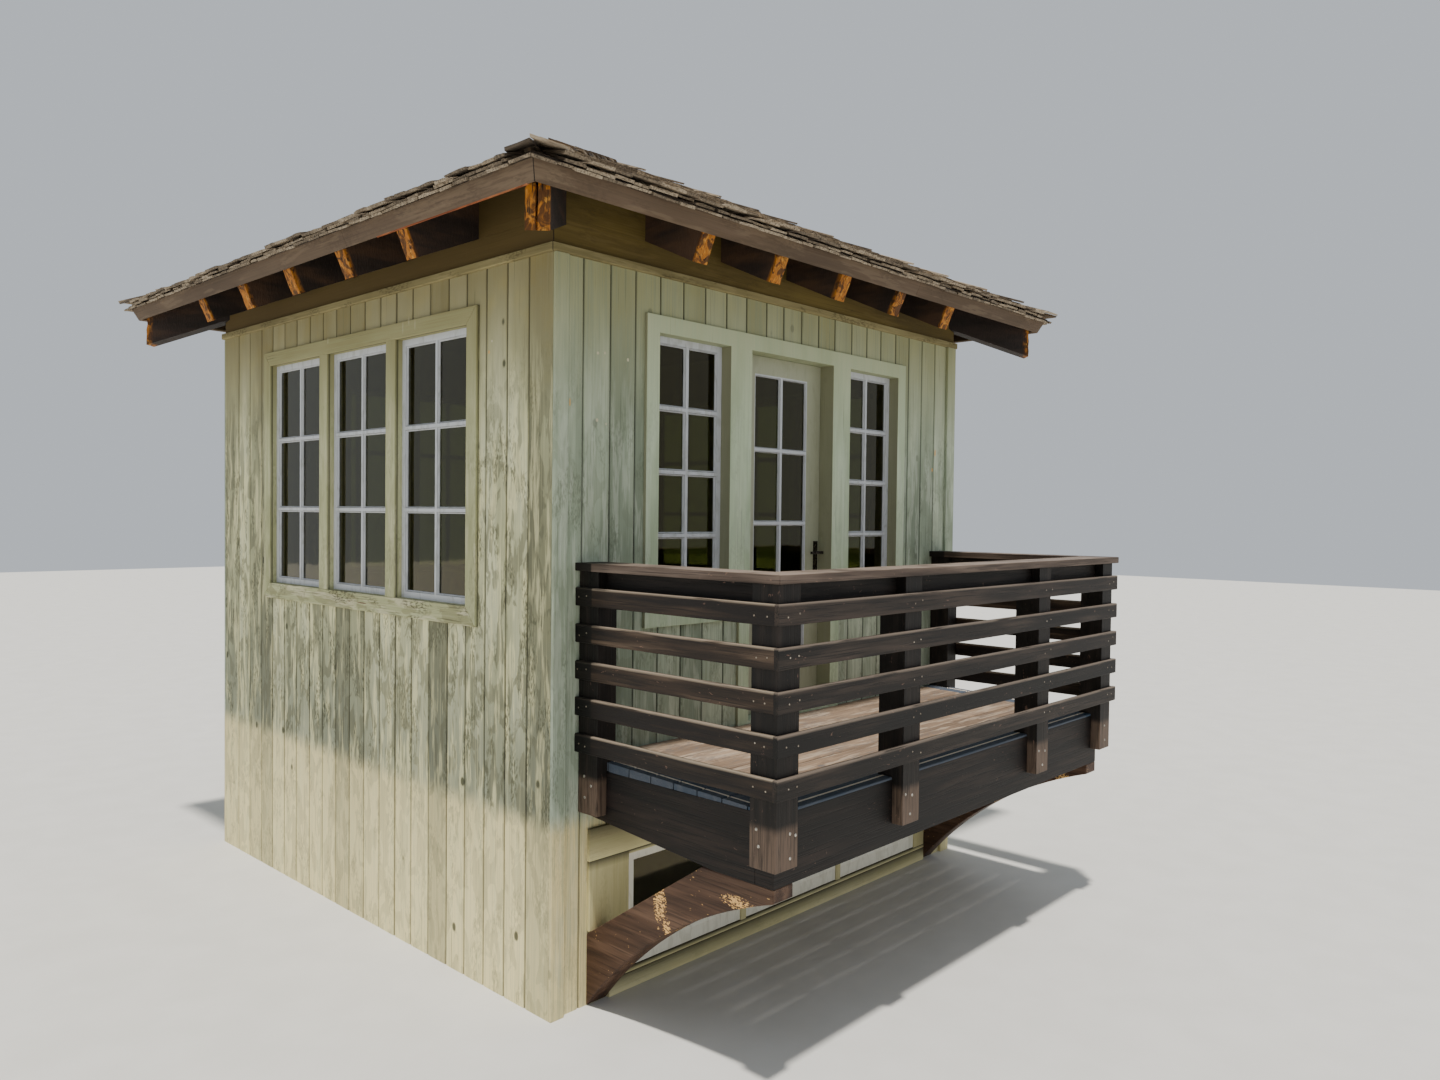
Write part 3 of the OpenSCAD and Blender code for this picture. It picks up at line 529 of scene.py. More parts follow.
@dataclass(frozen=True)
class PeelingStain(Finish):
    """Dark film-forming stain on heavy softwood, paler on its tops and peeling in places.

    The film has a low sheen. Upper faces are rough and paler, from bleaching and painted
    sunlight, and worn upper arrises carry a painted highlight. Checks run along the grain,
    and pale flecks show where the film has come off. Bands are in metres: heights of the
    posts' tails, which are paler with wear and painted sunlight, and distances from the
    wall within which the film is darker.
    """

    dark: str = "#241c18"
    base: str = "#3a2c24"
    light: str = "#54443a"
    worn: str = "#857264"
    fleck: str = "#b98f7a"
    # Strength of the paler upper faces: bleaching and painted sunlight
    bleach_and_sun_share: float = 0.75
    fleck_share: float = 0.25
    # Paler tails of posts, with wear and painted sunlight: strength, and heights where it starts
    tail_wear_and_sun_share: float = 0.0
    tail_wear_and_sun_band: tuple[float, float] = (1.16, 1.12)
    # Colour of the film within about 120 mm of the wall, darker, with its strength and band
    kept: str = "#0b0908"
    wall_end_share: float = 0.0
    wall_end_band: tuple[float, float] = (0.125, 0.115)
    # Places where the film has flaked off: middle in y and z, half sizes in y and z
    bare_spots: tuple[Four, ...] = ()
    roughness: float = 0.6

    def flaked(self, tree: Tree, spot: Four) -> Link:
        """Mask of ragged flakes inside an ellipse on a side of the timber.

        Args:
            tree: Node tree of the material.
            spot: Middle in y and z, and half sizes in y and z, in the frame of the walls.

        Returns:
            Factor that is 1 where noise plus nearness to the middle passes a threshold.
        """
        y, z, half_y, half_z = spot
        place = add(tree, "TexCoord").outputs["Object"]
        offset = (0.0, CORNER[1] + y, z)
        moved = add(tree, "VectorMath", {0: place, 1: offset}, operation="SUBTRACT")
        scaled = add(
            tree, "VectorMath", {0: moved.outputs[0], 1: (0.0, 1 / half_y, 1 / half_z)},
            operation="MULTIPLY",
        )
        far = add(tree, "VectorMath", {0: scaled.outputs[0]}, operation="LENGTH")
        near = add(
            tree, "MapRange",
            {"Value": far.outputs["Value"], "From Min": 1.4, "From Max": 0.4, "To Max": 0.52},
        ).outputs[0]
        flakes = patches(tree, self.grain, (8, 16), 0.36, 0.6, 6.0, 0.8)
        half = add(tree, "Math", {0: flakes, 1: 0.55}, operation="MULTIPLY")
        both = add(tree, "Math", {0: half.outputs[0], 1: near}, operation="ADD")
        return add(
            tree, "MapRange", {"Value": both.outputs[0], "From Min": 0.81, "From Max": 0.83}
        ).outputs[0]

    def wire(self, tree: Tree) -> None:
        """Wire tones, grain, bleached upper faces, checks and flecks.

        Args:
            tree: Node tree of the material.
        """
        tones = (self.dark, self.base, self.light)
        colour = board_tone(tree, self.grain, (45, 600), tones, 0.4)
        # Checks are under a millimetre wide, drawn 8 mm apart so that they show
        checks = patches(tree, self.grain, (8, 330), 0.5, 0.66, 4.0, 0.3)
        spots = patches(tree, self.grain, (140, 260), 0.5, 0.62, 2.0)
        flecks = patches(tree, self.grain, (13, 30), 0.66, 0.7, 5.0, 0.6, within=spots)
        upward = add(
            tree, "MapRange", {"Value": facing(tree, 2), "From Min": 0.35, "From Max": 0.9}
        ).outputs[0]
        bleached_and_sunlit = patches(tree, self.grain, (18, 160), 0.3, 0.6, 6.0, within=upward)
        # Upper arrises turn pale where the points' wear is 1, worn bare and with a painted
        # highlight, and the tails of posts are paler with wear and painted sunlight
        wear = add(tree, "Attribute", attribute_name="wear").outputs["Fac"]
        sharp = add(tree, "MapRange", {"Value": wear, "From Min": 0.9, "From Max": 0.97}).outputs[0]
        rubbed = patches(tree, self.grain, (12, 260), 0.3, 0.5, 4.0, within=sharp)
        low = zone(tree, *self.tail_wear_and_sun_band)
        tail = patches(tree, self.grain, (22, 120), 0.1, 0.55, 6.0, within=low)
        near_wall = zone(tree, *(CORNER[1] - place for place in self.wall_end_band), 1)
        colour = coats(
            tree,
            colour,
            [
                (bleached_and_sunlit, self.worn, self.bleach_and_sun_share),
                (tail, self.worn, self.tail_wear_and_sun_share),
                (checks, self.dark, 0.75 - 0.3 * self.tail_wear_and_sun_share),
                (rubbed, self.worn, 0.8),
                (flecks, self.fleck, self.fleck_share),
                *((self.flaked(tree, spot), self.fleck, 0.95) for spot in self.bare_spots),
                (near_wall, self.kept, self.wall_end_share),
            ],
        )
        constants = {"IOR": 1.48, "Specular IOR Level": 0.3}
        close(tree, colour, self.roughness, checks, -0.7, constants)


@dataclass(frozen=True)
class EndGrainTimber(Finish):
    """Rough sawn timber: near-black sides, orange end grain that a worn stain lets show.

    The wear of the points tells the ends from the sides.
    """

    dark: str = "#1c1410"
    base: str = "#2c201a"
    light: str = "#4a3424"
    end: str = "#ba7420"
    end_dark: str = "#2a1509"
    end_bright: str = "#dfa648"
    check: str = "#0d0705"
    roughness: float = 0.8

    def wire(self, tree: Tree) -> None:
        """Wire sawn sides, and rings and stains on the ends.

        Args:
            tree: Node tree of the material.
        """
        tones = (self.dark, self.base, self.light)
        side = board_tone(tree, self.grain, (90, 420), tones, 0.2)
        # Wear is 1 on the end and falls along the whole timber, so only its top counts
        wear = add(tree, "Attribute", attribute_name="wear").outputs["Fac"]
        end = add(
            tree, "MapRange", {"Value": wear, "From Min": 0.985, "From Max": 0.998}
        ).outputs[0]
        # Growth rings are 4 mm apart, drawn 9 mm apart so that they show
        rings = patches(tree, Grain.UPRIGHT, (9, 40), 0.4, 0.62, 3.0, 0.8)
        stained = patches(tree, Grain.UPRIGHT, (46, 60), 0.46, 0.58, 6.0, 1.0)
        bright = patches(tree, Grain.UPRIGHT, (24, 50), 0.5, 0.7, 4.0, 0.6)
        checks = patches(tree, Grain.UPRIGHT, (11, 130), 0.6, 0.66, 3.0, 0.5)
        ends = coats(
            tree,
            self.end,
            [
                (bright, self.end_bright, 0.6),
                (rings, self.end_dark, 0.3),
                (stained, self.end_dark, 0.8),
                (checks, self.check, 0.9),
            ],
        )
        colour = add(tree, "Mix", {0: end, 6: side, 7: ends}, data_type="RGBA").outputs[2]
        close(tree, colour, self.roughness, rings, 1.2, {"IOR": 1.45})


@dataclass(frozen=True)
class RoofBoarding(Finish):
    """Sawn roof boarding: black below, stained like the fascia on its edge."""

    black_underside: str = "#1d1612"
    mottle: str = "#3a2d22"
    edge: str = "#6a5947"
    roughness: float = 0.85

    def wire(self, tree: Tree) -> None:
        """Wire the black underside and its mottle, and the stained edge, told by the way a face
        looks.

        Args:
            tree: Node tree of the material.
        """
        fibres = patches(tree, self.grain, (10, 400), 0.4, 0.7, 4.0)
        mottle = patches(tree, self.grain, (80, 160), 0.45, 0.65, 5.0)
        below = coats(tree, self.black_underside, [(fibres, self.mottle, 0.5), (mottle, self.mottle, 0.5)])
        steep = add(
            tree, "MapRange", {"Value": facing(tree, 2), "From Min": -0.75, "From Max": -0.55}
        ).outputs[0]
        colour = coats(tree, below, [(steep, self.edge, 1.0), (fibres, self.mottle, 0.2)])
        close(tree, colour, self.roughness, fibres, 0.8, {"IOR": 1.45})


@dataclass(frozen=True)
class SplitShake(Finish):
    """Hand-split cedar weathered to grey: silvery ridges, brown furrows, paler butts."""

    dark: str = "#4d4236"
    base: str = "#857662"
    light: str = "#b1a18a"
    furrow: str = "#2a2015"
    brown: str = "#6f573f"
    end: str = "#9b8b74"
    roughness: float = 0.86

    def wire(self, tree: Tree) -> None:
        """Wire shake tones, split furrows, brown patches and paler butts.

        Args:
            tree: Node tree of the material.
        """
        tones = (self.dark, self.base, self.light)
        colour = board_tone(tree, self.grain, (70, 300), tones, 0.8)
        # Split furrows are 2 to 4 mm apart, drawn 8 mm apart so that they show
        furrows = patches(tree, self.grain, (8, 190), 0.46, 0.68, 4.0, 0.4)
        brown = patches(tree, self.grain, (60, 130), 0.52, 0.66, 5.0, 0.6)
        butt = add(tree, "Attribute", attribute_name="wear").outputs["Fac"]
        layers = [(brown, self.brown, 0.4), (butt, self.end, 0.4), (furrows, self.furrow, 0.6)]
        colour = coats(tree, colour, layers)
        close(tree, colour, self.roughness, furrows, -2.5, {"IOR": 1.45})


@dataclass(frozen=True)
class BrushedPaint(Finish):
    """Brushed oil paint on planed joinery: satin, faint brush lines, soiled in patches."""

    base: str = "#c9ccd0"
    soiled: str = "#9ea09a"
    soil_share: float = 0.45
    # Colour of a door's glazing bars, and the low and high x and z of its glazed opening
    bars: str = ""
    glazed: Four = (-0.278, 0.208, 1.494, 3.228)
    roughness: float = 0.42

    def wire(self, tree: Tree) -> None:
        """Wire brush lines and soiled patches.

        Args:
            tree: Node tree of the material.
        """
        # Brush lines are half a millimetre apart, drawn 5 mm apart so that they show
        brush = patches(tree, self.grain, (5, 140), 0.35, 0.7, 2.0)
        soil = patches(tree, self.grain, (45, 120), 0.48, 0.66, 7.0, 0.8)
        layers = [(brush, self.soiled, 0.12), (soil, self.soiled, self.soil_share)]
        colour = coats(tree, self.base, layers)
        if self.bars:
            # The mask of the glazed opening is a box in x and z
            left, right, low, high = self.glazed
            mask = zone(tree, left, left + 0.001, 0)
            for place, way, axis in ((right, -0.001, 0), (low, 0.001, 2), (high, -0.001, 2)):
                side = zone(tree, place, place + way, axis)
                mask = add(tree, "Math", {0: mask, 1: side}, operation="MULTIPLY").outputs[0]
            colour = coats(tree, colour, [(mask, self.bars, 1.0)])
        close(tree, colour, self.roughness, brush, 0.15, {"IOR": 1.5})


@dataclass(frozen=True)
class WindowGlass(Finish):
    """Old drawn glass, wavy and olive green, with a thin film of dust: the green is the glass's own
    and a painted reflection of foliage.
    """

    tint_and_reflection: str = "#6b7048"
    dust: str = "#4f4636"
    film: str = "#f0deae"
    roughness: float = 0.03

    def wire(self, tree: Tree) -> None:
        """Wire the waviness of drawn glass and its dust film.

        Args:
            tree: Node tree of the material.
        """
        waves = patches(tree, Grain.UPRIGHT, (160, 420), 0.3, 0.7, 1.0)
        film = patches(tree, Grain.UPRIGHT, (60, 90), 0.45, 0.75, 6.0)
        colour = coats(tree, self.tint_and_reflection, [(film, self.dust, 0.3)])
        constants = {"IOR": 1.5, "Transmission Weight": 1.0, "Specular Tint": self.film}
        close(tree, colour, self.roughness, waves, 0.25, constants)


@dataclass(frozen=True)
class AgedMetal(Finish):
    """Cast or rolled metal gone dull: brighter where it is rubbed, darker in the hollows."""

    base: str = "#4a3d30"
    rubbed: str = "#7d6a50"
    low: float = 0.35
    high: float = 0.6

    def wire(self, tree: Tree) -> None:
        """Wire rubbed patches in colour and in roughness.

        Args:
            tree: Node tree of the material.
        """
        rubbed = patches(tree, self.grain, (12, 12), 0.45, 0.65, 5.0)
        colour = coats(tree, self.base, [(rubbed, self.rubbed, 0.6)])
        rough = add(
            tree, "MapRange", {"Value": rubbed, "To Min": self.high, "To Max": self.low}
        ).outputs[0]
        close(tree, colour, rough, rubbed, 0.2, {"Metallic": 1.0})


@dataclass(frozen=True)
class StudioPaper(Finish):
    """Matt pale paper under the object, with the faint mottle of its pulp."""

    base: str = "#cfcdc7"
    mottle: str = "#c8c6bf"

    def wire(self, tree: Tree) -> None:
        """Wire the mottle.

        Args:
            tree: Node tree of the material.
        """
        pulp = patches(tree, Grain.UPRIGHT, (300, 300), 0.3, 0.7, 3.0)
        close(tree, coats(tree, self.base, [(pulp, self.mottle, 0.6)]), 0.9)


# Softwood siding under thin sage stain: chalky, bleached in streaks, mildewed by water
SIDING = WeatheredStain(
    "sage_stained_siding",
    old="#666650",
    damp="#757e76",
    spread=0.5,
    fibre_share=0.26,
    old_share=0.68,
    mildew_share=0.75,
    bare_share=0.75,
    eave_shade_share=0.85,
    damp_and_shade_share=0.6,
    painted_sun_share=0.92,
    odd_share=0.4,
    knots=0.9,
)
# The same stain on the front, a copy in painted shade: greener, darker and with fewer pale patches
SHADED_SIDING = WeatheredStain(
    "front_siding_in_painted_shade",
    dark="#848f78",
    base="#a8b49a",
    light="#c3cdb2",
    old="#7d866f",
    mildew="#4f5340",
    bare="#d3dac6",
    upper="#9c9662",
    damp="#8f9f98",
    foot="#ead79a",
    spread=0.4,
    old_share=0.35,
    mildew_share=0.35,
    bare_share=0.35,
    eave_shade_share=0.8,
    damp_and_shade_share=0.3,
    painted_sun_share=0.85,
    knots=0.4,
)
# The stain of the back and the right wall, between the other two
HIDDEN_SIDING = replace(
    SIDING,
    name="hidden_wall_siding",
    dark="#8b9270",
    base="#b3b990",
    light="#d2d8b2",
    old="#7a7d5c",
    upper="#98905c",
    foot="#dcdcb8",
    spread=0.6,
    old_share=0.4,
    painted_sun_share=0.4,
)
# The same stain on flat softwood trim, thicker and more even, so the grain shows less
TRIM = WeatheredStain(
    "sage_painted_trim",
    dark="#9ea074",
    base="#b8b98d",
    light="#c8ca9f",
    old="#84825a",
    bare="#dcd6b4",
    upper="#7d6d3b",
    spread=0.2,
    old_share=0.2,
    mildew_share=0.25,
    bare_share=0.35,
    eave_shade_share=0.75,
    knots=0.3,
    relief=0.3,
)
# Trim out of the sun, in painted shade: cool green, cleaner
SHADED_TRIM = replace(
    TRIM,
    name="trim_in_painted_shade",
    dark="#a8b896",
    base="#c2d1b0",
    light="#cdd9ba",
    old="#98a58d",
    bare="#d8e0cc",
    upper="#a6a57c",
    old_share=0.15,
    mildew_share=0.15,
    bare_share=0.3,
    knots=0.2,
)
# Trim of the front, with painted shade on the faces that look sideways
FRONT_TRIM = replace(SHADED_TRIM, name="front_trim_in_painted_shade", sideways_shade="#837f63")
# Changes of a trim stain on boards that rain stands on: long black checks, brown tannin
RAIN_WORN = {
    "mildew": "#3a3220",
    "old": "#77704a",
    "check": 0.6,
    "check_length": 300,
    "old_share": 0.5,
    "mildew_share": 0.7,
    "bare_share": 0.6,
    "relief": 0.8,
}
# Frieze and blocking in the shade of the eaves: stained softwood, smooth, with the eave shade
# painted in as dark olive-brown
FRIEZE = WeatheredStain(
    "frieze_in_painted_eave_shade",
    dark="#4f411a",
    base="#615122",
    light="#71602c",
    mildew="#33270f",
    bare="#8a7648",
    spread=0.2,
    old_share=0.0,
    mildew_share=0.2,
    bare_share=0.15,
    eave_shade_share=0.0,
    knots=0.1,
    top=9.0,
    joint=0.006,
    sideways_shade="#55441f",
    relief=0.2,
)
# Moulding between frieze and siding, under the lighter stain of the walls, painted darker olive with
# the shade of the eaves
MOULDING = replace(
    FRIEZE,
    name="moulding_in_painted_eave_shade",
    dark="#6f6540",
    base="#857a50",
    light="#978c60",
    mildew="#3d3319",
    bare="#a3986c",
    mildew_share=0.5,
    bare_share=0.3,
    joint=0.005,
    sideways_shade="",
)
# Fascia under a taupe stain that hides most of the grain
FASCIA = replace(
    FRIEZE,
    name="taupe_stained_fascia",
    dark="#4e3f30",
    base="#5b4a39",
    light="#695745",
    mildew="#43362a",
    bare="#897760",
    mildew_share=0.3,
    bare_share=0.25,
    sideways_shade="",
)
# Sage-yellow stain on the boards low on the front, made pale with painted sunlight and bounced light
BASE_BOARD = WeatheredStain(
    "base_board_with_painted_sun",
    dark="#bcb17c",
    base="#d0c590",
    light="#dcd3a2",
    old="#b0a674",
    mildew="#6e6644",
    bare="#e8dfb6",
    spread=0.3,
    old_share=0.2,
    mildew_share=0.25,
    bare_share=0.3,
    knots=0.2,
    relief=0.3,
)
# The same boards where they lie level, paler still with painted light bounced from below
LIT_BOARD = replace(
    BASE_BOARD, name="level_board_with_painted_bounce", dark="#d6ca94", base="#ece1a8", light="#f5ebb8"
)
# Sawn softwood that was never coated: open grain, darkened by age
BARE_TIMBER = WeatheredStain(
    "aged_sawn_softwood",
    dark="#4d3c2a",
    base="#6a5338",
    light="#806746",
    mildew="#3a2c1e",
    bare="#93795a",
    spread=0.2,
    old_share=0.0,
    mildew_share=0.4,
    bare_share=0.3,
    eave_shade_share=0.0,
    top=9.0,
)
# Fresh-looking heartwood where the stain has run off
REDWOOD = WeatheredStain(
    "bare_red_heartwood",
    dark="#5e2d15",
    base="#864420",
    light="#a05a30",
    old="#6a3418",
    mildew="#3c1c0e",
    bare="#c98552",
    eave_shade_share=0.0,
    knots=0.0,
    top=9.0,
)
# Sawn roof boarding over the rafter tails, black below
BOARDING = RoofBoarding("black_roof_boarding")
# Softwood decking trodden bare: tan where it is walked on, with the railing's shade painted
# blue-grey at its edges and a line of painted sunlight
DECKING = WeatheredStain(
    "worn_softwood_decking",
    dark="#6b5746",
    base="#8a735d",
    light="#a48d76",
    old="#74604f",
    mildew="#5f5c5c",
    bare="#b9a894",
    spread=0.3,
    mildew_share=0.5,
    bare_share=0.5,
    eave_shade_share=0.0,
    top=9.0,
    rim="#35495c",
)
# Brown stain of the side slats: the copy with painted sunlight, paler than the front's, and darker
# by the wall
DARK_STAIN = PeelingStain(
    "dark_brown_stain",
    dark="#17110e",
    base="#35291f",
    light="#604f40",
    worn="#8b7d6c",
    wall_end_share=0.9,
)
# The same stain on the front slats, darker: the copy in painted shade, as they get less sun
SHADED_STAIN = PeelingStain(
    "dark_brown_shaded_stain", dark="#0f0c0a", base="#1f1915", light="#3a3029", worn="#6d6156"
)
# The cap rail gets the most sun and rain, so its stain has gone pale
CAP_STAIN = PeelingStain(
    "worn_brown_stain",
    dark="#352a23",
    base="#54463c",
    light="#706156",
    worn="#8a7b6e",
    wall_end_share=0.9,
)
# Near-black stain on the posts, whose tails are paler with wear and painted sunlight
POST_STAIN = PeelingStain(
    "near_black_stain",
    dark="#110e0c",
    base="#1b1613",
    light="#2d2520",
    worn="#625144",
    bleach_and_sun_share=0.5,
    tail_wear_and_sun_share=0.95,
)
# Black-brown stain on the beams, with few flecks
BEAM_STAIN = PeelingStain(
    "black_brown_stain",
    dark="#0f0d0c",
    base="#17110f",
    light="#2c221d",
    worn="#5d5146",
    bleach_and_sun_share=0.5,
    fleck_share=0.15,
)
# Brown stain on the knee braces, flaked off in golden patches
BRACE_STAIN = PeelingStain(
    "peeling_brown_stain",
    dark="#36261d",
    base="#523b2d",
    light="#6a5140",
    worn="#6d5443",
    fleck="#f2c078",
    fleck_share=0.8,
    bare_spots=(
        (-0.515, 0.635, 0.05, 0.10),
        (-0.56, 0.545, 0.03, 0.05),
        (-0.985, 0.768, 0.115, 0.035),
        (-0.304, 0.288, 0.015, 0.015),
    ),
)
RAFTER_TIMBER = EndGrainTimber("rough_sawn_rafter")
SHAKES = SplitShake("split_cedar_shake")
# Oil paint on the joinery: bluish white, a cream copy with painted sunlight for the lower sashes,
# and sage on the door
SASH_PAINT = BrushedPaint("white_sash_paint")
CREAM_SASH = BrushedPaint("sash_paint_with_painted_sun", base="#fdf9e6", soiled="#c9c2a4", soil_share=0.3)
DOOR_PAINT = BrushedPaint(
    "sage_door_paint", base="#a4a68c", soiled="#7c7d64", soil_share=0.2, bars="#c9ccd0"
)
GLASS = WindowGlass("drawn_window_glass")
# Cast bronze lever, dark with a rubbed gleam
BRONZE = AgedMetal("dark_bronze", base="#2b2723", rubbed="#8a8074", low=0.25, high=0.5)
# Heads of steel screws, dulled by weather and pale against the stain
IRON = AgedMetal("rusted_steel", base="#8f8476", rubbed="#d2c9ba", low=0.35, high=0.6)
# Zinc on steel bolts, gone chalky
ZINC = AgedMetal("galvanised_steel", base="#9c978e", rubbed="#dedad0", low=0.3, high=0.55)
# Matt filler over knots, resin that weeps from them, and tannin in the cracks of a sill
FILLER = BrushedPaint("pale_knot_filler", base="#c9c3a4", soiled="#a39c78", roughness=0.8)
RESIN = BrushedPaint("orange_knot_resin", base="#e0b46c", soiled="#b07a36", roughness=0.6)
TANNIN = replace(RESIN, name="brown_tannin", base="#6a4326", soiled="#2f1d10")
PAPER = StudioPaper("pale_studio_paper")


# Frames of the walls and slopes, and the builder of meshes


class Side(Enum):
    """Four sides of the building: start corner, way along, way in, and length."""

    FRONT = ((0.0, 0.0), (1.0, 0.0), (0.0, 1.0), 3.6)
    BACK = ((3.6, 3.79), (-1.0, 0.0), (0.0, -1.0), 3.6)
    LEFT = ((0.0, 3.79), (0.0, -1.0), (1.0, 0.0), 3.79)
    RIGHT = ((3.6, 0.0), (0.0, 1.0), (-1.0, 0.0), 3.79)

    @property
    def length(self) -> float:
        """Length of the wall from corner to corner."""
        return self.value[3]

    @property
    def runs_x(self) -> bool:
        """True for the front and the back, which run along x."""
        return self in (Side.FRONT, Side.BACK)

    @property
    def grain_in(self) -> Grain:
        """Way that timber runs if it lies square to the wall, such as a shake."""
        return Grain.ALONG_Y if self.runs_x else Grain.ALONG_X

    @property
    def window(self) -> float:
        """Middle of the triple window along the wall. The front has none."""
        middles = {Side.LEFT: self.length - SIDE_WINDOW, Side.RIGHT: SIDE_WINDOW}
        return middles.get(self, self.length / 2)

    def at(self, s: Array, d: Array, z: Array) -> Array:
        """Points of the scene from sizes counted at this wall.

        Args:
            s: Distance along the wall from its start corner.
            d: Distance inwards from the siding.
            z: Height over the ground line.

        Returns:
            Points with x, y and z last: corner + start + s times the way along + d times
            the way in.
        """
        start, along, inward, _ = self.value
        x, y = (CORNER[i] + start[i] + s * along[i] + d * inward[i] for i in (0, 1))
        return spread(x, y, z)


@dataclass(frozen=True)
class Pitch:
    """Plane of the rafter tops over every wall, the same on all four sides."""

    angle: float = math.radians(24.6)
    rafter_z: float = 4.0409
    eave_run: float = 0.46746
    drip: float = 0.035
    half_run: float = 1.8
    courses: int = 12

    @property
    def low_u(self) -> float:
        """Butt of the first course, up the slope from the siding line."""
        return -(self.eave_run + self.drip) / math.cos(self.angle)

    @property
    def exposure(self) -> float:
        """Shown length of one course."""
        return (self.half_run / math.cos(self.angle) - self.low_u) / self.courses

    def inward(self, u: Array, w: Array) -> Array:
        """Distance in from the siding: u cos(angle) less w sin(angle)."""
        return u * math.cos(self.angle) - w * math.sin(self.angle)

    def height(self, u: Array, w: Array) -> Array:
        """Height of a point: the rafter line plus u sin(angle) plus w cos(angle)."""
        return self.rafter_z + u * math.sin(self.angle) + w * math.cos(self.angle)

    def place(self, side: Side, s: Array, u: Array, w: Array, gap: float) -> Array:
        """Points on one slope, held between its two hips and short of the peak.

        Args:
            side: Side whose slope it is.
            s: Distance along the wall.
            u: Distance up the slope from the siding line.
            w: Distance off the rafter tops, square to the slope.
            gap: Distance in plan that is kept from the hips and the peak.

        Returns:
            Points. A point past the peak slides down to it, and one past a hip slides
            along the eave to it, because in plan a hip is the line where s equals d.
        """
        s, u, w = np.broadcast_arrays(s, u, w)
        d = np.minimum(self.inward(u, w), self.half_run - gap)
        rise = (d + w * math.sin(self.angle)) / math.cos(self.angle)
        s = np.clip(s, d + gap, side.length - d - gap)
        return side.at(s, d, self.height(rise, w))


PITCH = Pitch()


@dataclass
class PieceMesh:
    """Collects closed solids and makes one piece of them.

    Each solid is a tube of rings or a block of grid cells. The points carry the tone of
    their board, the board's own shift of the pattern, and wear from 0 to 1.
    """

    name: str
    seed: int = 1
    points: list[Array] = field(default_factory=list)
    quads: list[Array] = field(default_factory=list)
    tones: list[Array] = field(default_factory=list)
    owns: list[Array] = field(default_factory=list)
    wears: list[Array] = field(default_factory=list)
    count: int = 0

    def __post_init__(self) -> None:
        """Seed the chances of this piece, so that each run gives the same mesh."""
        self.chance = np.random.default_rng(self.seed)

    def store(self, points: Array, quads: Array, tone: Array, own: Array, wear: Array) -> None:
        """Keep points and faces, with the faces' numbers shifted past the earlier ones.

        Args:
            points: Points x 3.
            quads: Faces x 4 point numbers, counted from 0.
            tone: Tone of each point.
            own: Shift of the pattern of each point.
            wear: Wear of each point.
        """
        self.points.append(points)
        self.quads.append(quads + self.count)
        self.tones.append(tone)
        self.owns.append(own)
        self.wears.append(wear)
        self.count += len(points)

    def carry(
        self,
        rings: Array,
        wear: Array | float = 0.0,
        tone: Array | None = None,
        closed: bool = False,
    ) -> None:
        """Add tubes: a ring of points carried through stations, with both ends capped.

        Args:
            rings: Points as tubes x stations x ring points x 3. The second half of a
                ring runs back beside the first half, so that a cap is a strip of quads.
            wear: Wear of the points, in any shape that fits tubes x stations x points.
            tone: Tone of each tube, or None for a chance tone.
            closed: True if the last station joins the first, as round a window pane.

        The faces of a tube turn outwards: where the sum of p0 . (p1 x p2) over its
        triangles, six times its volume, is below zero, all its faces are turned round.
        """
        k, m, n, _ = rings.shape
        index = np.arange(m * n).reshape(m, n)
        turned = np.roll(index, -1, 1)
        sides = np.stack([index[:-1], turned[:-1], turned[1:], index[1:]], -1).reshape(-1, 4)
        i = np.arange(n // 2 - 1)
        cap = np.stack([i, n - 1 - i, n - 2 - i, i + 1], -1)
        ends = [cap, cap[:, ::-1] + (m - 1) * n]
        if closed:
            last, first = index[-1], index[0]
            ends = [np.stack([last, np.roll(last, -1), np.roll(first, -1), first], -1)]
        faces = np.concatenate([sides, *ends])
        points = rings.reshape(k, m * n, 3)
        near = points - points[:, :1]
        a, b, c, d = (near[:, faces[:, j]] for j in range(4))
        volume = (a * np.cross(b, c)).sum((1, 2)) + (a * np.cross(c, d)).sum((1, 2))
        quads = np.where((volume < 0)[:, None, None], faces[None, :, ::-1], faces[None])
        quads = quads + (np.arange(k) * m * n)[:, None, None]
        tone = self.chance.random(k) - 0.5 if tone is None else tone
        own = self.chance.uniform(-9, 9, (k, 3))
        self.store(
            points.reshape(-1, 3),
            quads.reshape(-1, 4),
            np.repeat(tone, m * n),
            np.repeat(own, m * n, 0),
            np.broadcast_to(wear, (k, m, n)).reshape(-1),
        )

    def cells(
        self, side: Side, s: Array, d: Array, z: Array, solid: Array, foul: float = -1.0
    ) -> None:
        """Add one watertight block of grid cells.

        Args:
            side: Wall whose frame the grid is in.
            s: Grid lines along the wall.
            d: Grid lines inwards.
            z: Grid lines in height.
            solid: True for each cell that is solid.
            foul: Depth whose points get a tone of 1; other points get a tone of 0.

        A face stands wherever one of two neighbouring cells is solid and the other is
        not, and it turns to the empty one.
        """
        shape = tuple(v + 1 for v in solid.shape)
        number = np.arange(np.prod(shape)).reshape(shape)
        found = []
        for axis in range(3):
            pad = [(1, 1) if j == axis else (0, 0) for j in range(3)]
            step = np.diff(np.pad(solid, pad).astype(int), axis=axis)
            b, c = np.eye(3, dtype=int)[[(axis + 1) % 3, (axis + 2) % 3]]
            for way in (1, -1):
                at = np.argwhere(step == way)
                quad = [at, at + b, at + b + c, at + c]
                quad = np.stack([number[tuple(q.T)] for q in quad], -1)
                found.append(quad[:, ::-1] if way == 1 else quad)
        quads = np.concatenate(found)
        used, quads = np.unique(quads, return_inverse=True)
        i, j, k = np.unravel_index(used, shape)
        points = side.at(np.asarray(s)[i], np.asarray(d)[j], np.asarray(z)[k])
        n = len(points)
        dirt = np.isclose(np.asarray(d)[j], foul).astype(float)
        self.store(points, quads.reshape(-1, 4), dirt, np.zeros((n, 3)), np.zeros(n))

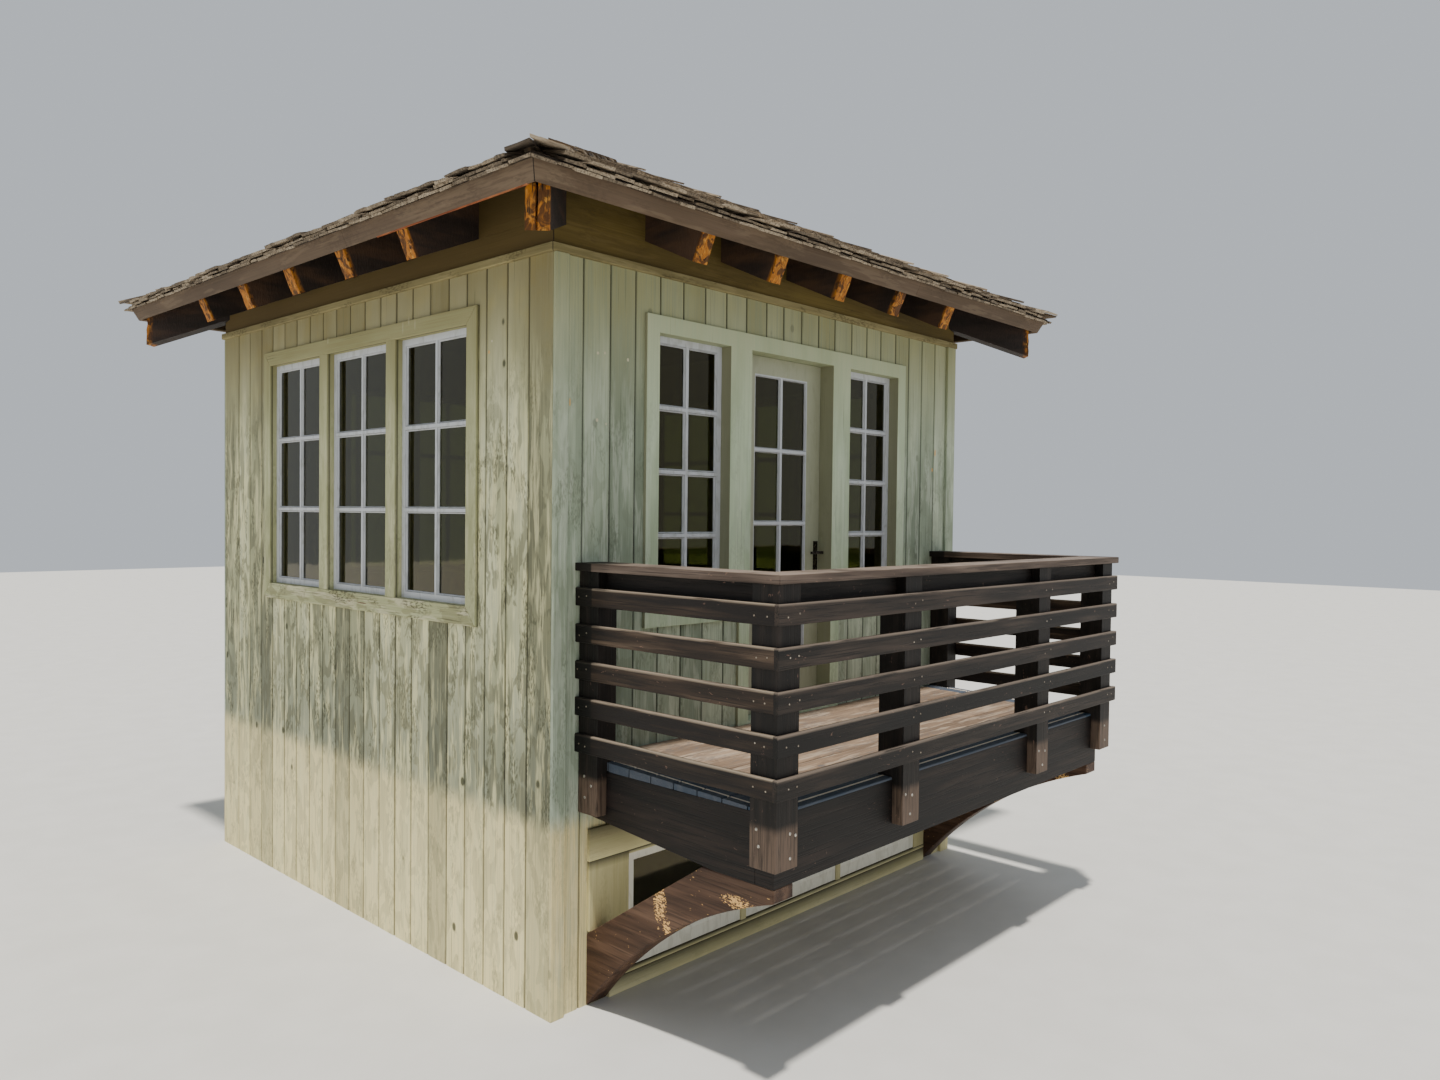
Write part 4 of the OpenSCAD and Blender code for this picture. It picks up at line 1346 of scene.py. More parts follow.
    def bars(self, low: Array, high: Array, axis: int, arris: float) -> None:
        """Sawn bars between two corners each, with worn long arrises.

        Args:
            low: Lowest corners, bars x 3, counted from the corner of the walls.
            high: Highest corners.
            axis: Axis that the bars run along.
            arris: Mean width of the worn arris.

        The profile is an octagon: a rectangle with its corners cut off. It is carried
        along eight stations, and the cut of each corner wanders from one to the next.
        """
        k = len(low)
        b, c = (axis + 1) % 3, (axis + 2) % 3
        cut = arris * self.chance.uniform(0.6, 1.6, (k, 8, 8))
        size_b, size_c = (high - low)[:, b, None, None], (high - low)[:, c, None, None]
        place_b = np.array([0, 0, 0, 1, 1, 1, 1, 0])
        turn_b = np.array([0, 0, 1, -1, 0, 0, -1, 1])
        place_c = np.array([0, 1, 1, 1, 1, 0, 0, 0])
        turn_c = np.array([1, -1, 0, 0, -1, 1, 0, 0])
        rings = np.empty((k, 8, 8, 3))
        part = np.linspace(0, 1, 8)[None, :, None]
        rings[..., axis] = low[:, axis, None, None] + part * (high - low)[:, axis, None, None]
        rings[..., b] = low[:, b, None, None] + place_b * size_b + turn_b * cut
        rings[..., c] = low[:, c, None, None] + place_c * size_c + turn_c * cut
        # The points of the arrises at the upper side get wear 1, which a peeling stain shows pale:
        # worn bare, with a painted highlight
        top = rings[..., 2] > rings[..., 2].max((1, 2), keepdims=True) - 1.7 * arris
        self.carry(rings + CORNER, top * 1.0)

    def domes(
        self,
        places: Array,
        out: Sequence[float],
        wide: Array | float,
        tall: Array | float,
        rise: float,
    ) -> None:
        """Add low domes: heads of bolts and screws, filled knots, drips.

        Args:
            places: Middles on the face, domes x 3.
            out: Way that the face looks, as an axis vector that isn't upright.
            wide: Half width of each, level along the face.
            tall: Half height of each.
            rise: How far a dome stands out.

        Each is an ellipse of eight points carried outwards through four stations, on
        which its size follows a quarter circle.
        """
        normal = np.array(out, float)
        level = np.cross(normal, (0.0, 0.0, 1.0))
        turn = 2 * np.pi * (np.arange(8) + 0.5) / 8
        grow = np.array([1.0, 1.0, 0.8, 0.3])[None, :, None, None]
        high = np.array([-0.4, 0.3, 0.75, 1.0])[None, :, None, None] * rise
        k = len(places)
        wide = np.broadcast_to(wide, k)[:, None, None, None]
        tall = np.broadcast_to(tall, k)[:, None, None, None]
        circle = wide * np.cos(turn)[:, None] * level
        circle = circle + tall * np.sin(turn)[:, None] * np.array([0.0, 0.0, 1.0])
        self.carry(places[:, None, None] + grow * circle + high * normal)

    def make(self, finish: Finish, slot: str, *replaced: str) -> bpy.types.Object:
        """Make the piece, dress it, and let it ride on the building.

        Args:
            finish: Finish of the whole piece.
            slot: Material slot of the record that it takes its finish from; not used.
            replaced: CAD nodes that it stands for.

        Returns:
            The object, at the origin.
        """
        points, quads = np.concatenate(self.points), np.concatenate(self.quads)
        mesh = bpy.data.meshes.new(self.name)
        mesh.vertices.add(len(points))
        mesh.vertices.foreach_set("co", points.ravel())
        mesh.loops.add(quads.size)
        mesh.loops.foreach_set("vertex_index", quads.ravel())
        mesh.polygons.add(len(quads))
        mesh.polygons.foreach_set("loop_start", np.arange(0, quads.size, 4))
        mesh.polygons.foreach_set("use_smooth", np.zeros(len(quads), bool))
        mesh.update(calc_edges=True)
        for title, kind, key, values in (
            ("tone", "FLOAT", "value", self.tones),
            ("own", "FLOAT_VECTOR", "vector", self.owns),
            ("wear", "FLOAT", "value", self.wears),
        ):
            layer = mesh.attributes.new(title, kind, "POINT")
            layer.data.foreach_set(key, np.concatenate(values).astype(np.float32).ravel())
        mesh.materials.append(finish.material())
        piece = bpy.data.objects.new(self.name, mesh)
        bpy.context.scene.collection.objects.link(piece)
        if replaced:
            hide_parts(*replaced)
        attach(piece, "root")
        LOG.info("%s: %d points, %d faces", self.name, len(points), len(quads))
        return piece


def dress(node: str, finish: Finish, arris: float = 0.0) -> None:
    """Give a CAD node its finish, and ease its arrises.

    Args:
        node: Name of the node.
        finish: Finish of the whole node.
        arris: Width of the bevel on its sharp edges in millimetres, or 0 for none.
    """
    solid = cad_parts[node]
    solid.data.materials.clear()
    solid.data.materials.append(finish.material())
    if arris:
        weld = solid.modifiers.new("weld", "WELD")
        weld.merge_threshold = 0.00005
        bevel = solid.modifiers.new("arris", "BEVEL")
        bevel.width = arris * MM
        bevel.segments = 2
        bevel.limit_method = "ANGLE"
        bevel.angle_limit = math.radians(35)
        bevel.use_clamp_overlap = True
    LOG.info("%s: dressed in %s", node, finish.name)


# Sub-assemblies


@dataclass
class Siding:
    """Grooved upright boards on the four walls, over a hollow core with real openings."""

    height: float = 3.66
    wall: float = 0.14
    board: float = 0.008
    arris: float = 0.0062
    gap: float = 0.0040
    rebate: float = 0.038
    wander: float = 0.0004
    # An opening's edge splits no board if it is nearer to a groove than this
    near_groove: float = 0.006
    # The groove under the left window that has opened, from the front corner, and how far
    open_groove: float = 1.408
    open_seam: float = 0.009
    # Middles of the grooves from the front corner, in millimetres
    front_grooves: tuple[int, ...] = (
        182, 353, 518, 689, 857, 1022, 1190, 1355, 1529, 1682, 1850, 2015, 2180, 2357,
        2522, 2681, 2855, 3017, 3182, 3350,
    )
    side_grooves: tuple[int, ...] = (
        186, 362, 539, 713, 882, 1062, 1240, 1408, 1590, 1770, 1945, 2118, 2291, 2467,
        2651, 2827, 3006, 3179, 3370, 3554,
    )
    # Openings of the front: left, right, low and high
    front_holes: tuple[Four, ...] = (
        (0.649, 1.366, 1.903, 3.353),
        (1.366, 2.164, 1.212, 3.353),
        (2.164, 2.881, 1.903, 3.353),
        (0.483, 3.147, 0.110, 0.672),
    )
    # Marks: place along the wall, height, half width and half height
    front_fillings: tuple[Four, ...] = (
        (0.273, 3.182, 0.0080, 0.0080),
        (0.317, 3.188, 0.0060, 0.0070),
        (0.467, 3.172, 0.0070, 0.0090),
        (0.270, 2.858, 0.0080, 0.0090),
        (0.327, 2.843, 0.0050, 0.0060),
    )
    left_fillings: tuple[Four, ...] = ((3.300, 3.257, 0.0070, 0.0070),)
    front_resin: tuple[Four, ...] = (
        (0.103, 2.930, 0.0040, 0.0200),
        (3.370, 2.861, 0.0090, 0.0260),
        (3.334, 2.740, 0.0090, 0.0140),
    )
    left_resin: tuple[Four, ...] = ((3.275, 3.205, 0.0080, 0.0090),)
    drips: tuple[Four, ...] = (
        (2.481, 3.414, 0.0020, 0.0340),
        (2.544, 3.445, 0.0022, 0.0260),
        (2.607, 3.416, 0.0020, 0.0300),
        (1.603, 3.437, 0.0020, 0.0200),
    )
    cracks: tuple[Four, ...] = ((2.033, 1.868, 0.0550, 0.0035), (1.877, 1.869, 0.0220, 0.0025))
    triple_width: float = 2.354
    triple_low: float = 1.903
    triple_high: float = 3.379
    # How far casings stand out from the siding, and domes from what they are on
    casing: float = 0.020
    dome: float = 0.0012

    def holes(self, side: Side) -> list[Four]:
        """Openings of a wall.

        Args:
            side: Wall that is asked for.

        Returns:
            Left, right, low and high of each opening.
        """
        if side is Side.FRONT:
            return list(self.front_holes)
        half = self.triple_width / 2
        return [(side.window - half, side.window + half, self.triple_low, self.triple_high)]

    def grooves(self, side: Side) -> Array:
        """Middles of the grooves of a wall in its own frame.

        Args:
            side: Wall that is asked for.

        Returns:
            Rising distances from the wall's start corner.
        """
        grooves = np.array(self.front_grooves if side.runs_x else self.side_grooves) * MM
        return side.length - grooves[::-1] if side in (Side.BACK, Side.LEFT) else grooves

    def core(self, mesh: PieceMesh, side: Side) -> None:
        """Wall behind the boards: a grid of cells with the openings left empty.

        Args:
            mesh: Mesh that takes the wall.
            side: Wall that is built.

        The front and the back run from corner to corner, and the side walls stand
        between them.
        """
        holes = self.holes(side)
        inset = self.board if side.runs_x else self.wall
        inner = (self.rebate, side.length - self.rebate) if side.runs_x else ()
        cuts = np.ravel([h[:2] for h in holes])
        s = np.unique([inset, side.length - inset, *inner, *cuts])
        d = np.array([self.board, self.rebate, self.wall])
        z = np.unique([0.0, self.height, CORE_TOP, *np.ravel([h[2:] for h in holes])])
        ms, md, mz = np.meshgrid(*((v[1:] + v[:-1]) / 2 for v in (s, d, z)), indexing="ij")
        solid = np.ones(ms.shape, bool)
        for low, high, foot, head in holes:
            solid &= ~((ms > low) & (ms < high) & (mz > foot) & (mz < head))
        solid &= ~((md < self.rebate) & (mz > self.height))
        if side.runs_x:
            outside = (ms < self.rebate) | (ms > side.length - self.rebate)
            solid &= ~(outside & (mz > self.height))
        mesh.cells(side, s, d, z, solid, self.board)

    def boards(self, mesh: PieceMesh, side: Side) -> None:
        """Boards from groove to groove, cut where an opening crosses them.

        Args:
            mesh: Mesh that takes the boards.
            side: Wall that is built.

        Each board is a profile of six points in s and d, with its two front arrises cut
        off, carried up four stations that wander by a fraction of a millimetre. A board
        that an opening's edge crosses is split there without arris or gap.
        """
        inset = self.board if side.runs_x else 0.0
        grooves = self.grooves(side)
        holes = self.holes(side)
        ends = np.array([inset, side.length - inset])
        cuts = np.unique([h[:2] for h in holes])
        cuts = cuts[np.abs(cuts[:, None] - grooves).min(1) > self.near_groove]
        edges = np.sort(np.concatenate([ends, grooves, cuts]))
        real = np.isin(edges, grooves)
        lows, highs, own = edges[:-1], edges[1:], np.cumsum(real)[:-1]
        rows = []
        for low, high, left, right, board in zip(lows, highs, real[:-1], real[1:], own):
            middle = (low + high) / 2
            spans = sorted((h[2], h[3]) for h in holes if h[0] < middle < h[1])
            foot = 0.0
            for start, stop in [*spans, (self.height, None)]:
                if start > foot + MM:
                    rows.append((low, high, left, right, foot, start, board))
                foot = stop
        low, high, left, right, foot, head, board = np.array(rows, float).T
        mesh.chance = np.random.default_rng(mesh.seed + 5)
        tones = mesh.chance.random(len(grooves) + 1) - 0.5
        low = low + left * self.gap / 2
        high = high - right * self.gap / 2
        if side is Side.LEFT:
            opened = np.abs(high - (side.length - self.open_groove)) < self.gap
            high = high - opened * self.open_seam
        cut_l, cut_r = left * self.arris, right * self.arris
        thick = np.full_like(low, self.board)
        zero = np.zeros_like(low)
        s = np.stack([low, low, low + cut_l, high - cut_r, high, high], -1)
        d = np.stack([thick, cut_l, zero, zero, cut_r, thick], -1)
        part = np.array([0.0, 0.33, 0.68, 1.0])
        z = foot[:, None] + (head - foot)[:, None] * part
        wander = mesh.chance.normal(0, self.wander, (len(low), 4, 1))
        wander = wander * (left * right)[:, None, None]
        rings = side.at(s[:, None] + wander, d[:, None], z[..., None])
        own_before = mesh.chance.uniform(-9, 9, (len(grooves) + 1, 3))
        # Points at the grooves get wear 1, which the stain darkens: dirt and painted shade
        dirt = np.zeros((len(low), 1, 6))
        dirt[:, 0, :2] = left[:, None]
        dirt[:, 0, 4:] = right[:, None]
        mesh.carry(rings, dirt, tones[board.astype(int)])
        # Pieces of one board share its shift, so that its pattern runs on past an opening
        mesh.owns[-1] = np.repeat(own_before[board.astype(int)], 24, 0)

    def marks(self) -> None:
        """Filled knots, knots that weep resin, drips and cracks of a sill, as low domes."""
        plans = (
            ("filled_knots", FILLER, Side.FRONT, 0.0, self.front_fillings),
            ("filled_knots_left", FILLER, Side.LEFT, 0.0, self.left_fillings),
            ("resin_knots", RESIN, Side.FRONT, 0.0, self.front_resin),
            ("resin_knots_left", RESIN, Side.LEFT, 0.0, self.left_resin),
            ("paint_drips", FILLER, Side.LEFT, -self.casing, self.drips),
            ("sill_cracks", TANNIN, Side.LEFT, -self.casing, self.cracks),
        )
        for number, (name, finish, side, depth, rows) in enumerate(plans):
            s, z, wide, tall = np.array(rows).T
            mesh = PieceMesh(name, 81 + number)
            out = [-v for v in side.value[2]] + [0.0]
            mesh.domes(side.at(s, np.array(depth), z), out, wide, tall, self.dome)
            mesh.make(finish, "siding")

    def build(self) -> None:
        """Build the four walls and the marks on their boards."""
        for number, side in enumerate(Side):
            mesh = PieceMesh(f"{side.name.lower()}_siding", 11 + number)
            self.core(mesh, side)
            self.boards(mesh, side)
            finish = {Side.LEFT: SIDING, Side.FRONT: SHADED_SIDING}.get(side, HIDDEN_SIDING)
            mesh.make(finish, "siding", f"{side.name.lower()}_wall")
        self.marks()


# Profile of a hip or ridge cap: share of its width, and 1 on its upper face
CAP_ACROSS = np.array([0.0, 0.0, 0.5, 1.0, 1.0, 0.5])[None, None]
CAP_UPPER = np.array([0.0, 1.0, 1.0, 1.0, 0.0, 0.0])[None, None]


@dataclass
class Shakes:
    """Courses of split shakes on the four slopes, with lapped pairs of caps on the hips."""

    board: float = 0.020
    front_stack: float = 0.040
    side_stack: float = 0.027
    least: float = 0.08
    most: float = 0.19
    rows: int = 20
    gap: float = 0.006
    butt: float = 0.013
    # Chance sizes: butts out of line and askew, lift, warp, and height of the ridges
    stray: float = 0.011
    skew: float = 0.008
    lift: tuple[float, float] = (-0.005, 0.010)
    warp: float = 0.003
    ridge_height: float = 0.0018
    cap_width: float = 0.135
    cap: float = 0.013
    cap_rise: float = 0.027
    ridge_length: float = 0.17

    def stack(self, side: Side) -> float:
        """Height of the butts over the boards, which is less over the side walls."""
        return self.front_stack if side.runs_x else self.side_stack

    def lay(
        self,
        mesh: PieceMesh,
        side: Side,
        u: float,
        run: float,
        butt: tuple[float, float],
        head: tuple[float, float],
        clear: float = -0.05,
        loose: float = 1.0,
    ) -> None:
        """One course of shakes of chance width.

        Args:
            mesh: Mesh that takes the shakes.
            side: Side whose slope it is.
            u: Butt line, up the slope.
            run: Length of a shake that is modelled.
            butt: Lower and upper face at the butt, over the rafter tops.
            head: Lower and upper face at the upper end.
            clear: Distance along the eave that is left empty beside each hip.
            loose: Share of the chance lift and of the chance offset of the butts.

        A shake is a profile of six points across its width, flat below and with two
        uneven ridges above, carried up four stations on which it thins in a straight
        line. Its butt stands askew and out of line by chance.
        """
        eave = float(PITCH.inward(np.array(u), np.array(0.0)))
        start, stop = eave + clear, side.length - eave - clear
        chance = mesh.chance
        widths = chance.uniform(self.least, self.most, 80)
        right = start + np.cumsum(widths)
        left = right - widths
        kept = left < stop
        left, right = left[kept], np.minimum(right[kept], stop)
        k = len(left)
        part = np.array([0.0, 0.08, 0.5, 1.0])
        out = chance.normal(0, self.stray, (k, 1)) - 0.004
        skew = chance.normal(0, self.skew, (k, 1))
        lift = chance.uniform(*self.lift, (k, 1, 1)) * loose
        thin = chance.uniform(-self.warp, self.warp, (k, 1, 1)) * loose
        width = (right - left)[:, None] - self.gap * chance.uniform(0.5, 1.6, (k, 1))
        across = np.array([0.0, 0.0, 0.3, 0.68, 1.0, 1.0])
        upper = np.array([0.0, 1.0, 1.0, 1.0, 1.0, 0.0])
        ridge = chance.normal(0, self.ridge_height, (k, 1, 6)) * np.where(upper > 0, 1.0, 0.6)
        s = left[:, None] + width * across
        butt_u = u + (np.clip(out, -0.028, 0.02) + skew * (across - 0.5)) * loose
        rise = part[None, :, None]
        u_here = butt_u[:, None] + rise * (u + run - butt_u)[:, None]
        low = (butt[0] + thin) * (1 - rise) + head[0] * rise
        high = butt[1] * (1 - rise) + head[1] * rise
        w = low * (1 - upper) + high * upper + (lift + ridge) * (1 - rise)
        u_here = np.maximum(u_here, PITCH.low_u)
        rings = PITCH.place(side, s[:, None], u_here, w, 0.002)
        wear = np.broadcast_to(np.array([1.0, 0.35, 0.0, 0.25])[None, :, None], w.shape)
        spans = rings[:, :, :, :2].max((1, 2)) - rings[:, :, :, :2].min((1, 2))
        # A sliver that is left at a hip is dropped
        whole = spans[:, 0 if side.runs_x else 1] > 0.012
        mesh.carry(rings[whole], wear[whole])

    def caps(self, mesh: PieceMesh, side: Side, mirrored: bool) -> None:
        """Caps of one slope along one of its hips, each lapping the one below.

        Args:
            mesh: Mesh that takes the caps.
            side: Side whose slope they lie on.
            mirrored: True for the hip at the end of the wall.

        A cap is a strip in the plane of the slope: t runs up the hip and q off it, so
        s grows by (t cos(angle) + q) / n and u by (t - q cos(angle)) / n, where n is the
        square root of 1 + cos(angle) squared. The first butt is cut in line with the eave.
        """
        chance = mesh.chance
        c = math.cos(PITCH.angle)
        n = math.sqrt(1 + c * c)
        step = PITCH.exposure * n
        number = np.arange(PITCH.courses)
        k = len(number)
        part = np.array([0.0, 0.06, 0.5, 1.0])[None, :, None]
        q = CAP_ACROSS * self.cap_width * chance.uniform(0.86, 1.0, (k, 1, 1))
        q = q + np.where(q > 0, 0, MM)
        askew = chance.normal(0, 0.06, (k, 1, 1))
        askew[0] = c
        butt = number[:, None, None] * step + askew * q + chance.normal(0, 0.006, (k, 1, 1))
        butt[0] = askew[0] * q[0]
        t = butt + part * (step * 1.12 + number[:, None, None] * step - butt)
        low = self.stack(side) + self.cap_rise - 0.021 * part
        high = self.stack(side) + self.cap_rise + self.cap - 0.020 * part
        high = high - np.abs(chance.normal(0, MM, (k, 1, 6)))
        lift = chance.uniform(0.0, 0.007, (k, 1, 1))
        lift[0] = 0.0
        w = low * (1 - CAP_UPPER) + high * CAP_UPPER + lift * (1 - part)
        low_d = PITCH.inward(np.array(PITCH.low_u), w)
        s = low_d + (t * c + q) / n
        u = PITCH.low_u + (t - q * c) / n
        s = side.length - s if mirrored else s
        # A raised butt is set back, so that it stays over the drip line
        least = PITCH.low_u + np.maximum(w - 0.080, 0) * math.tan(PITCH.angle)
        mesh.carry(PITCH.place(side, s, np.maximum(u, least), w, 0.0006), 0.2 * (1 - part))

    def ridge(self, mesh: PieceMesh, side: Side) -> None:
        """Two caps along the short ridge, each a strip from end to end.

        Args:
            mesh: Mesh that takes the caps.
            side: Side whose slope they lie on.
        """
        part = np.array([0.0, 1.0])[None, :, None]
        start = side.length / 2 + np.array([-self.ridge_length, 0.0])[:, None, None]
        s = start + part * self.ridge_length
        u = PITCH.half_run / math.cos(PITCH.angle) + 0.02 - CAP_ACROSS * self.cap_width
        mesh.carry(PITCH.place(side, s, u, 0.044 + 0.014 * CAP_UPPER, 0.0006))

    def build(self) -> None:
        """Build four slopes of shakes and all caps."""
        for number, side in enumerate(Side):
            name = side.name.lower()
            mesh = PieceMesh(f"{name}_shake_courses", 31 + number)
            # Two short starter courses fill the drip before the first full course
            u = PITCH.low_u
            self.lay(mesh, side, u + 0.006, 0.029, (-0.003, 0.009), (0.002, 0.014), loose=0.5)
            under = 0.006 + 0.3 * self.stack(side)
            self.lay(mesh, side, u + 0.012, 0.120, (under, under + 0.012), (0.022, 0.032), 0.15, 0.8)
            step = PITCH.exposure * PITCH.courses / self.rows
            for row in range(self.rows):
                clear = -0.05 if row else 0.15
                top = self.board + self.stack(side)
                butt = (top - self.butt, top)
                self.lay(mesh, side, u + row * step, step + 0.02, butt, (0.023, 0.034), clear)
            mesh.make(SHAKES.along(side.grain_in), "shakes", f"{name}_shakes")
        mesh = PieceMesh("hip_and_ridge_caps", 41)
        for side in Side:
            self.caps(mesh, side, False)
            self.caps(mesh, side, True)
            if not side.runs_x:
                self.ridge(mesh, side)
        mesh.make(SHAKES.along(Grain.LEVEL), "shakes", "hip_caps")


@dataclass
class Eaves:
    """Rafters and hips with weathered tails, and the flat boards round them."""

    width: float = 0.089
    depth: float = 0.235
    tail: float = -0.49417
    front_first: float = 0.620
    front_pitch: float = 0.561
    side_first: float = 0.655
    side_pitch: float = 0.620
    count: int = 5
    hip_width: float = 0.102
    hip_depth: float = 0.286
    hip_tail: float = 0.37522
    peak_half: float = 0.090
    # Split in a hip's end: its least depth, and what its middle adds
    split_least: float = 0.012
    split_more: float = 0.07
    # Stations of the bare edge along the left wall
    bare_span: tuple[float, float, float] = (2.95, 3.5, 4.17)

    def middles(self, side: Side) -> Array:
        """Middles of the rafters over a wall in its own frame.

        Args:
            side: Wall that is asked for.

        Returns:
            Distances from the wall's start corner.
        """
        step = np.arange(self.count)
        front = self.front_first + step * self.front_pitch
        sides = self.side_first + step * self.side_pitch
        return {
            Side.FRONT: front,
            Side.BACK: side.length - front,
            Side.LEFT: side.length - sides,
            Side.RIGHT: sides,
        }[side]

    def rafters(self) -> None:
        """Common and jack rafters.

        Seen from above, a rafter is an outline with five points across its tail and five
        across its head. The outline is carried through six depths below the rafter tops,
        and the tail's points are eaten back by chance at each. The head stops at the hip
        beside it or at the peak block: in plan, where d is the least of s and the rest
        of the wall less half a hip, and the block.
        """
        mesh = PieceMesh("rafters_with_tails", 51)
        across = np.array([-1.0, -0.55, 0.0, 0.55, 1.0]) / 2 * self.width
        ring = np.concatenate([across, across[::-1]])
        tail = np.array([1.0] * 5 + [0.0] * 5)
        w = -np.linspace(0.0, self.depth, 6)[None, :, None]
        for side in Side:
            middle = self.middles(side)
            k = len(middle)
            s = middle[:, None, None] + ring[None, None] + 0 * w
            eaten = np.abs(mesh.chance.normal(0, 0.0022, (k, 6, 10)))
            eaten[:, :, [0, 4]] += np.abs(mesh.chance.normal(0, 0.002, (k, 6, 2)))
            room = self.hip_width / math.sqrt(2)
            stop = np.minimum(np.minimum(s, side.length - s) - room, PITCH.half_run - self.peak_half)
            head = (stop + w * math.sin(PITCH.angle)) / math.cos(PITCH.angle)
            u = np.where(tail > 0, self.tail + 0.0015 + eaten, head)
            mesh.carry(side.at(s, PITCH.inward(u, w), PITCH.height(u, w)), tail)
        mesh.make(RAFTER_TIMBER.along(Grain.LEVEL), "rafter_wood", "common_rafters")

    def hips(self) -> None:
        """Hip rafters, each with a split in its plumb end.

        An outline with seven points across the tail and seven across the head is carried
        down nine levels. Along the hip t and off it q give s = (t + q) / root 2 and
        d = (t - q) / root 2 in the frame of the wall that starts at that corner. The
        middle point of the tail is set back by the depth of the split, which opens and
        closes as a half sine over the levels. The top is bevelled to both slopes: it
        drops by the hip's slope times the distance off the hip.
        """
        mesh = PieceMesh("hips_with_split_ends", 53)
        root, slope = math.sqrt(2), math.tan(PITCH.angle) / math.sqrt(2)
        drop = self.hip_depth / math.cos(math.atan(slope))
        across = np.array([-0.5, -0.2, -0.085, -0.03, 0.03, 0.24, 0.5]) * self.hip_width
        q = np.concatenate([across, across[::-1]])[None]
        tail = np.array([1.0] * 7 + [0.0] * 7)[None]
        level = np.linspace(0, 1, 9)[:, None]
        split = np.zeros((1, 14))
        split[0, 3] = 1.0
        arch = np.sin(np.pi * np.clip(level * 1.15 + 0.05, 0, 1))
        for side in Side:
            eaten = np.abs(mesh.chance.normal(0, 0.003, (9, 14)))
            deep = self.split_least + self.split_more * arch
            t = np.where(
                tail > 0,
                -self.hip_tail * root + eaten + split * deep,
                (PITCH.half_run - self.peak_half) * root + np.abs(q),
            )
            bow = 0.003 * np.sin(7 * level) * split
            z = PITCH.rafter_z + slope * (t - np.abs(q) * (1 - level)) - level * drop
            points = side.at((t + q + bow) / root, (t - q - bow) / root, z)
            mesh.carry(points[None], tail[None])
        mesh.make(RAFTER_TIMBER.along(Grain.LEVEL), "rafter_wood", "hip_rafters")

    def bare_edge(self) -> None:
        """Bare red-brown lower edge of the board behind the left fascia, near the corner.

        A profile of six points in d and z is carried along the wall in three stations.
        """
        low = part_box("fascia_boards")[0]
        s = np.array(self.bare_span)[None, :, None]
        out = low.x - CORNER[0]
        d = out + np.array([0.036, 0.0365, 0.038, 0.043, 0.044, 0.044])
        z = low.z + np.array([0.006, -0.0015, -0.0025, -0.0025, -0.001, 0.006])
        mesh = PieceMesh("bare_fascia_edge", 57)
        mesh.carry(Side.LEFT.at(s, d[None, None], z[None, None]))
        mesh.make(REDWOOD.along(Grain.ALONG_Y), "fascia_wood")

    def build(self) -> None:
        """Build the rafters and hips, and dress the boards round them."""
        self.rafters()
        self.hips()
        self.bare_edge()
        dress("peak_block", BARE_TIMBER)
        dress("wall_plates", BARE_TIMBER.along(Grain.LEVEL))
        dress("roof_boards", BOARDING.along(Grain.LEVEL))
        dress("frieze_boards", FRIEZE.along(Grain.LEVEL), 1.5)
        dress("eave_blocking", FRIEZE.along(Grain.LEVEL), 1.5)
        dress("eave_moulding", MOULDING.along(Grain.LEVEL), 2.0)
        dress("fascia_boards", FASCIA.along(Grain.LEVEL), 2.5)


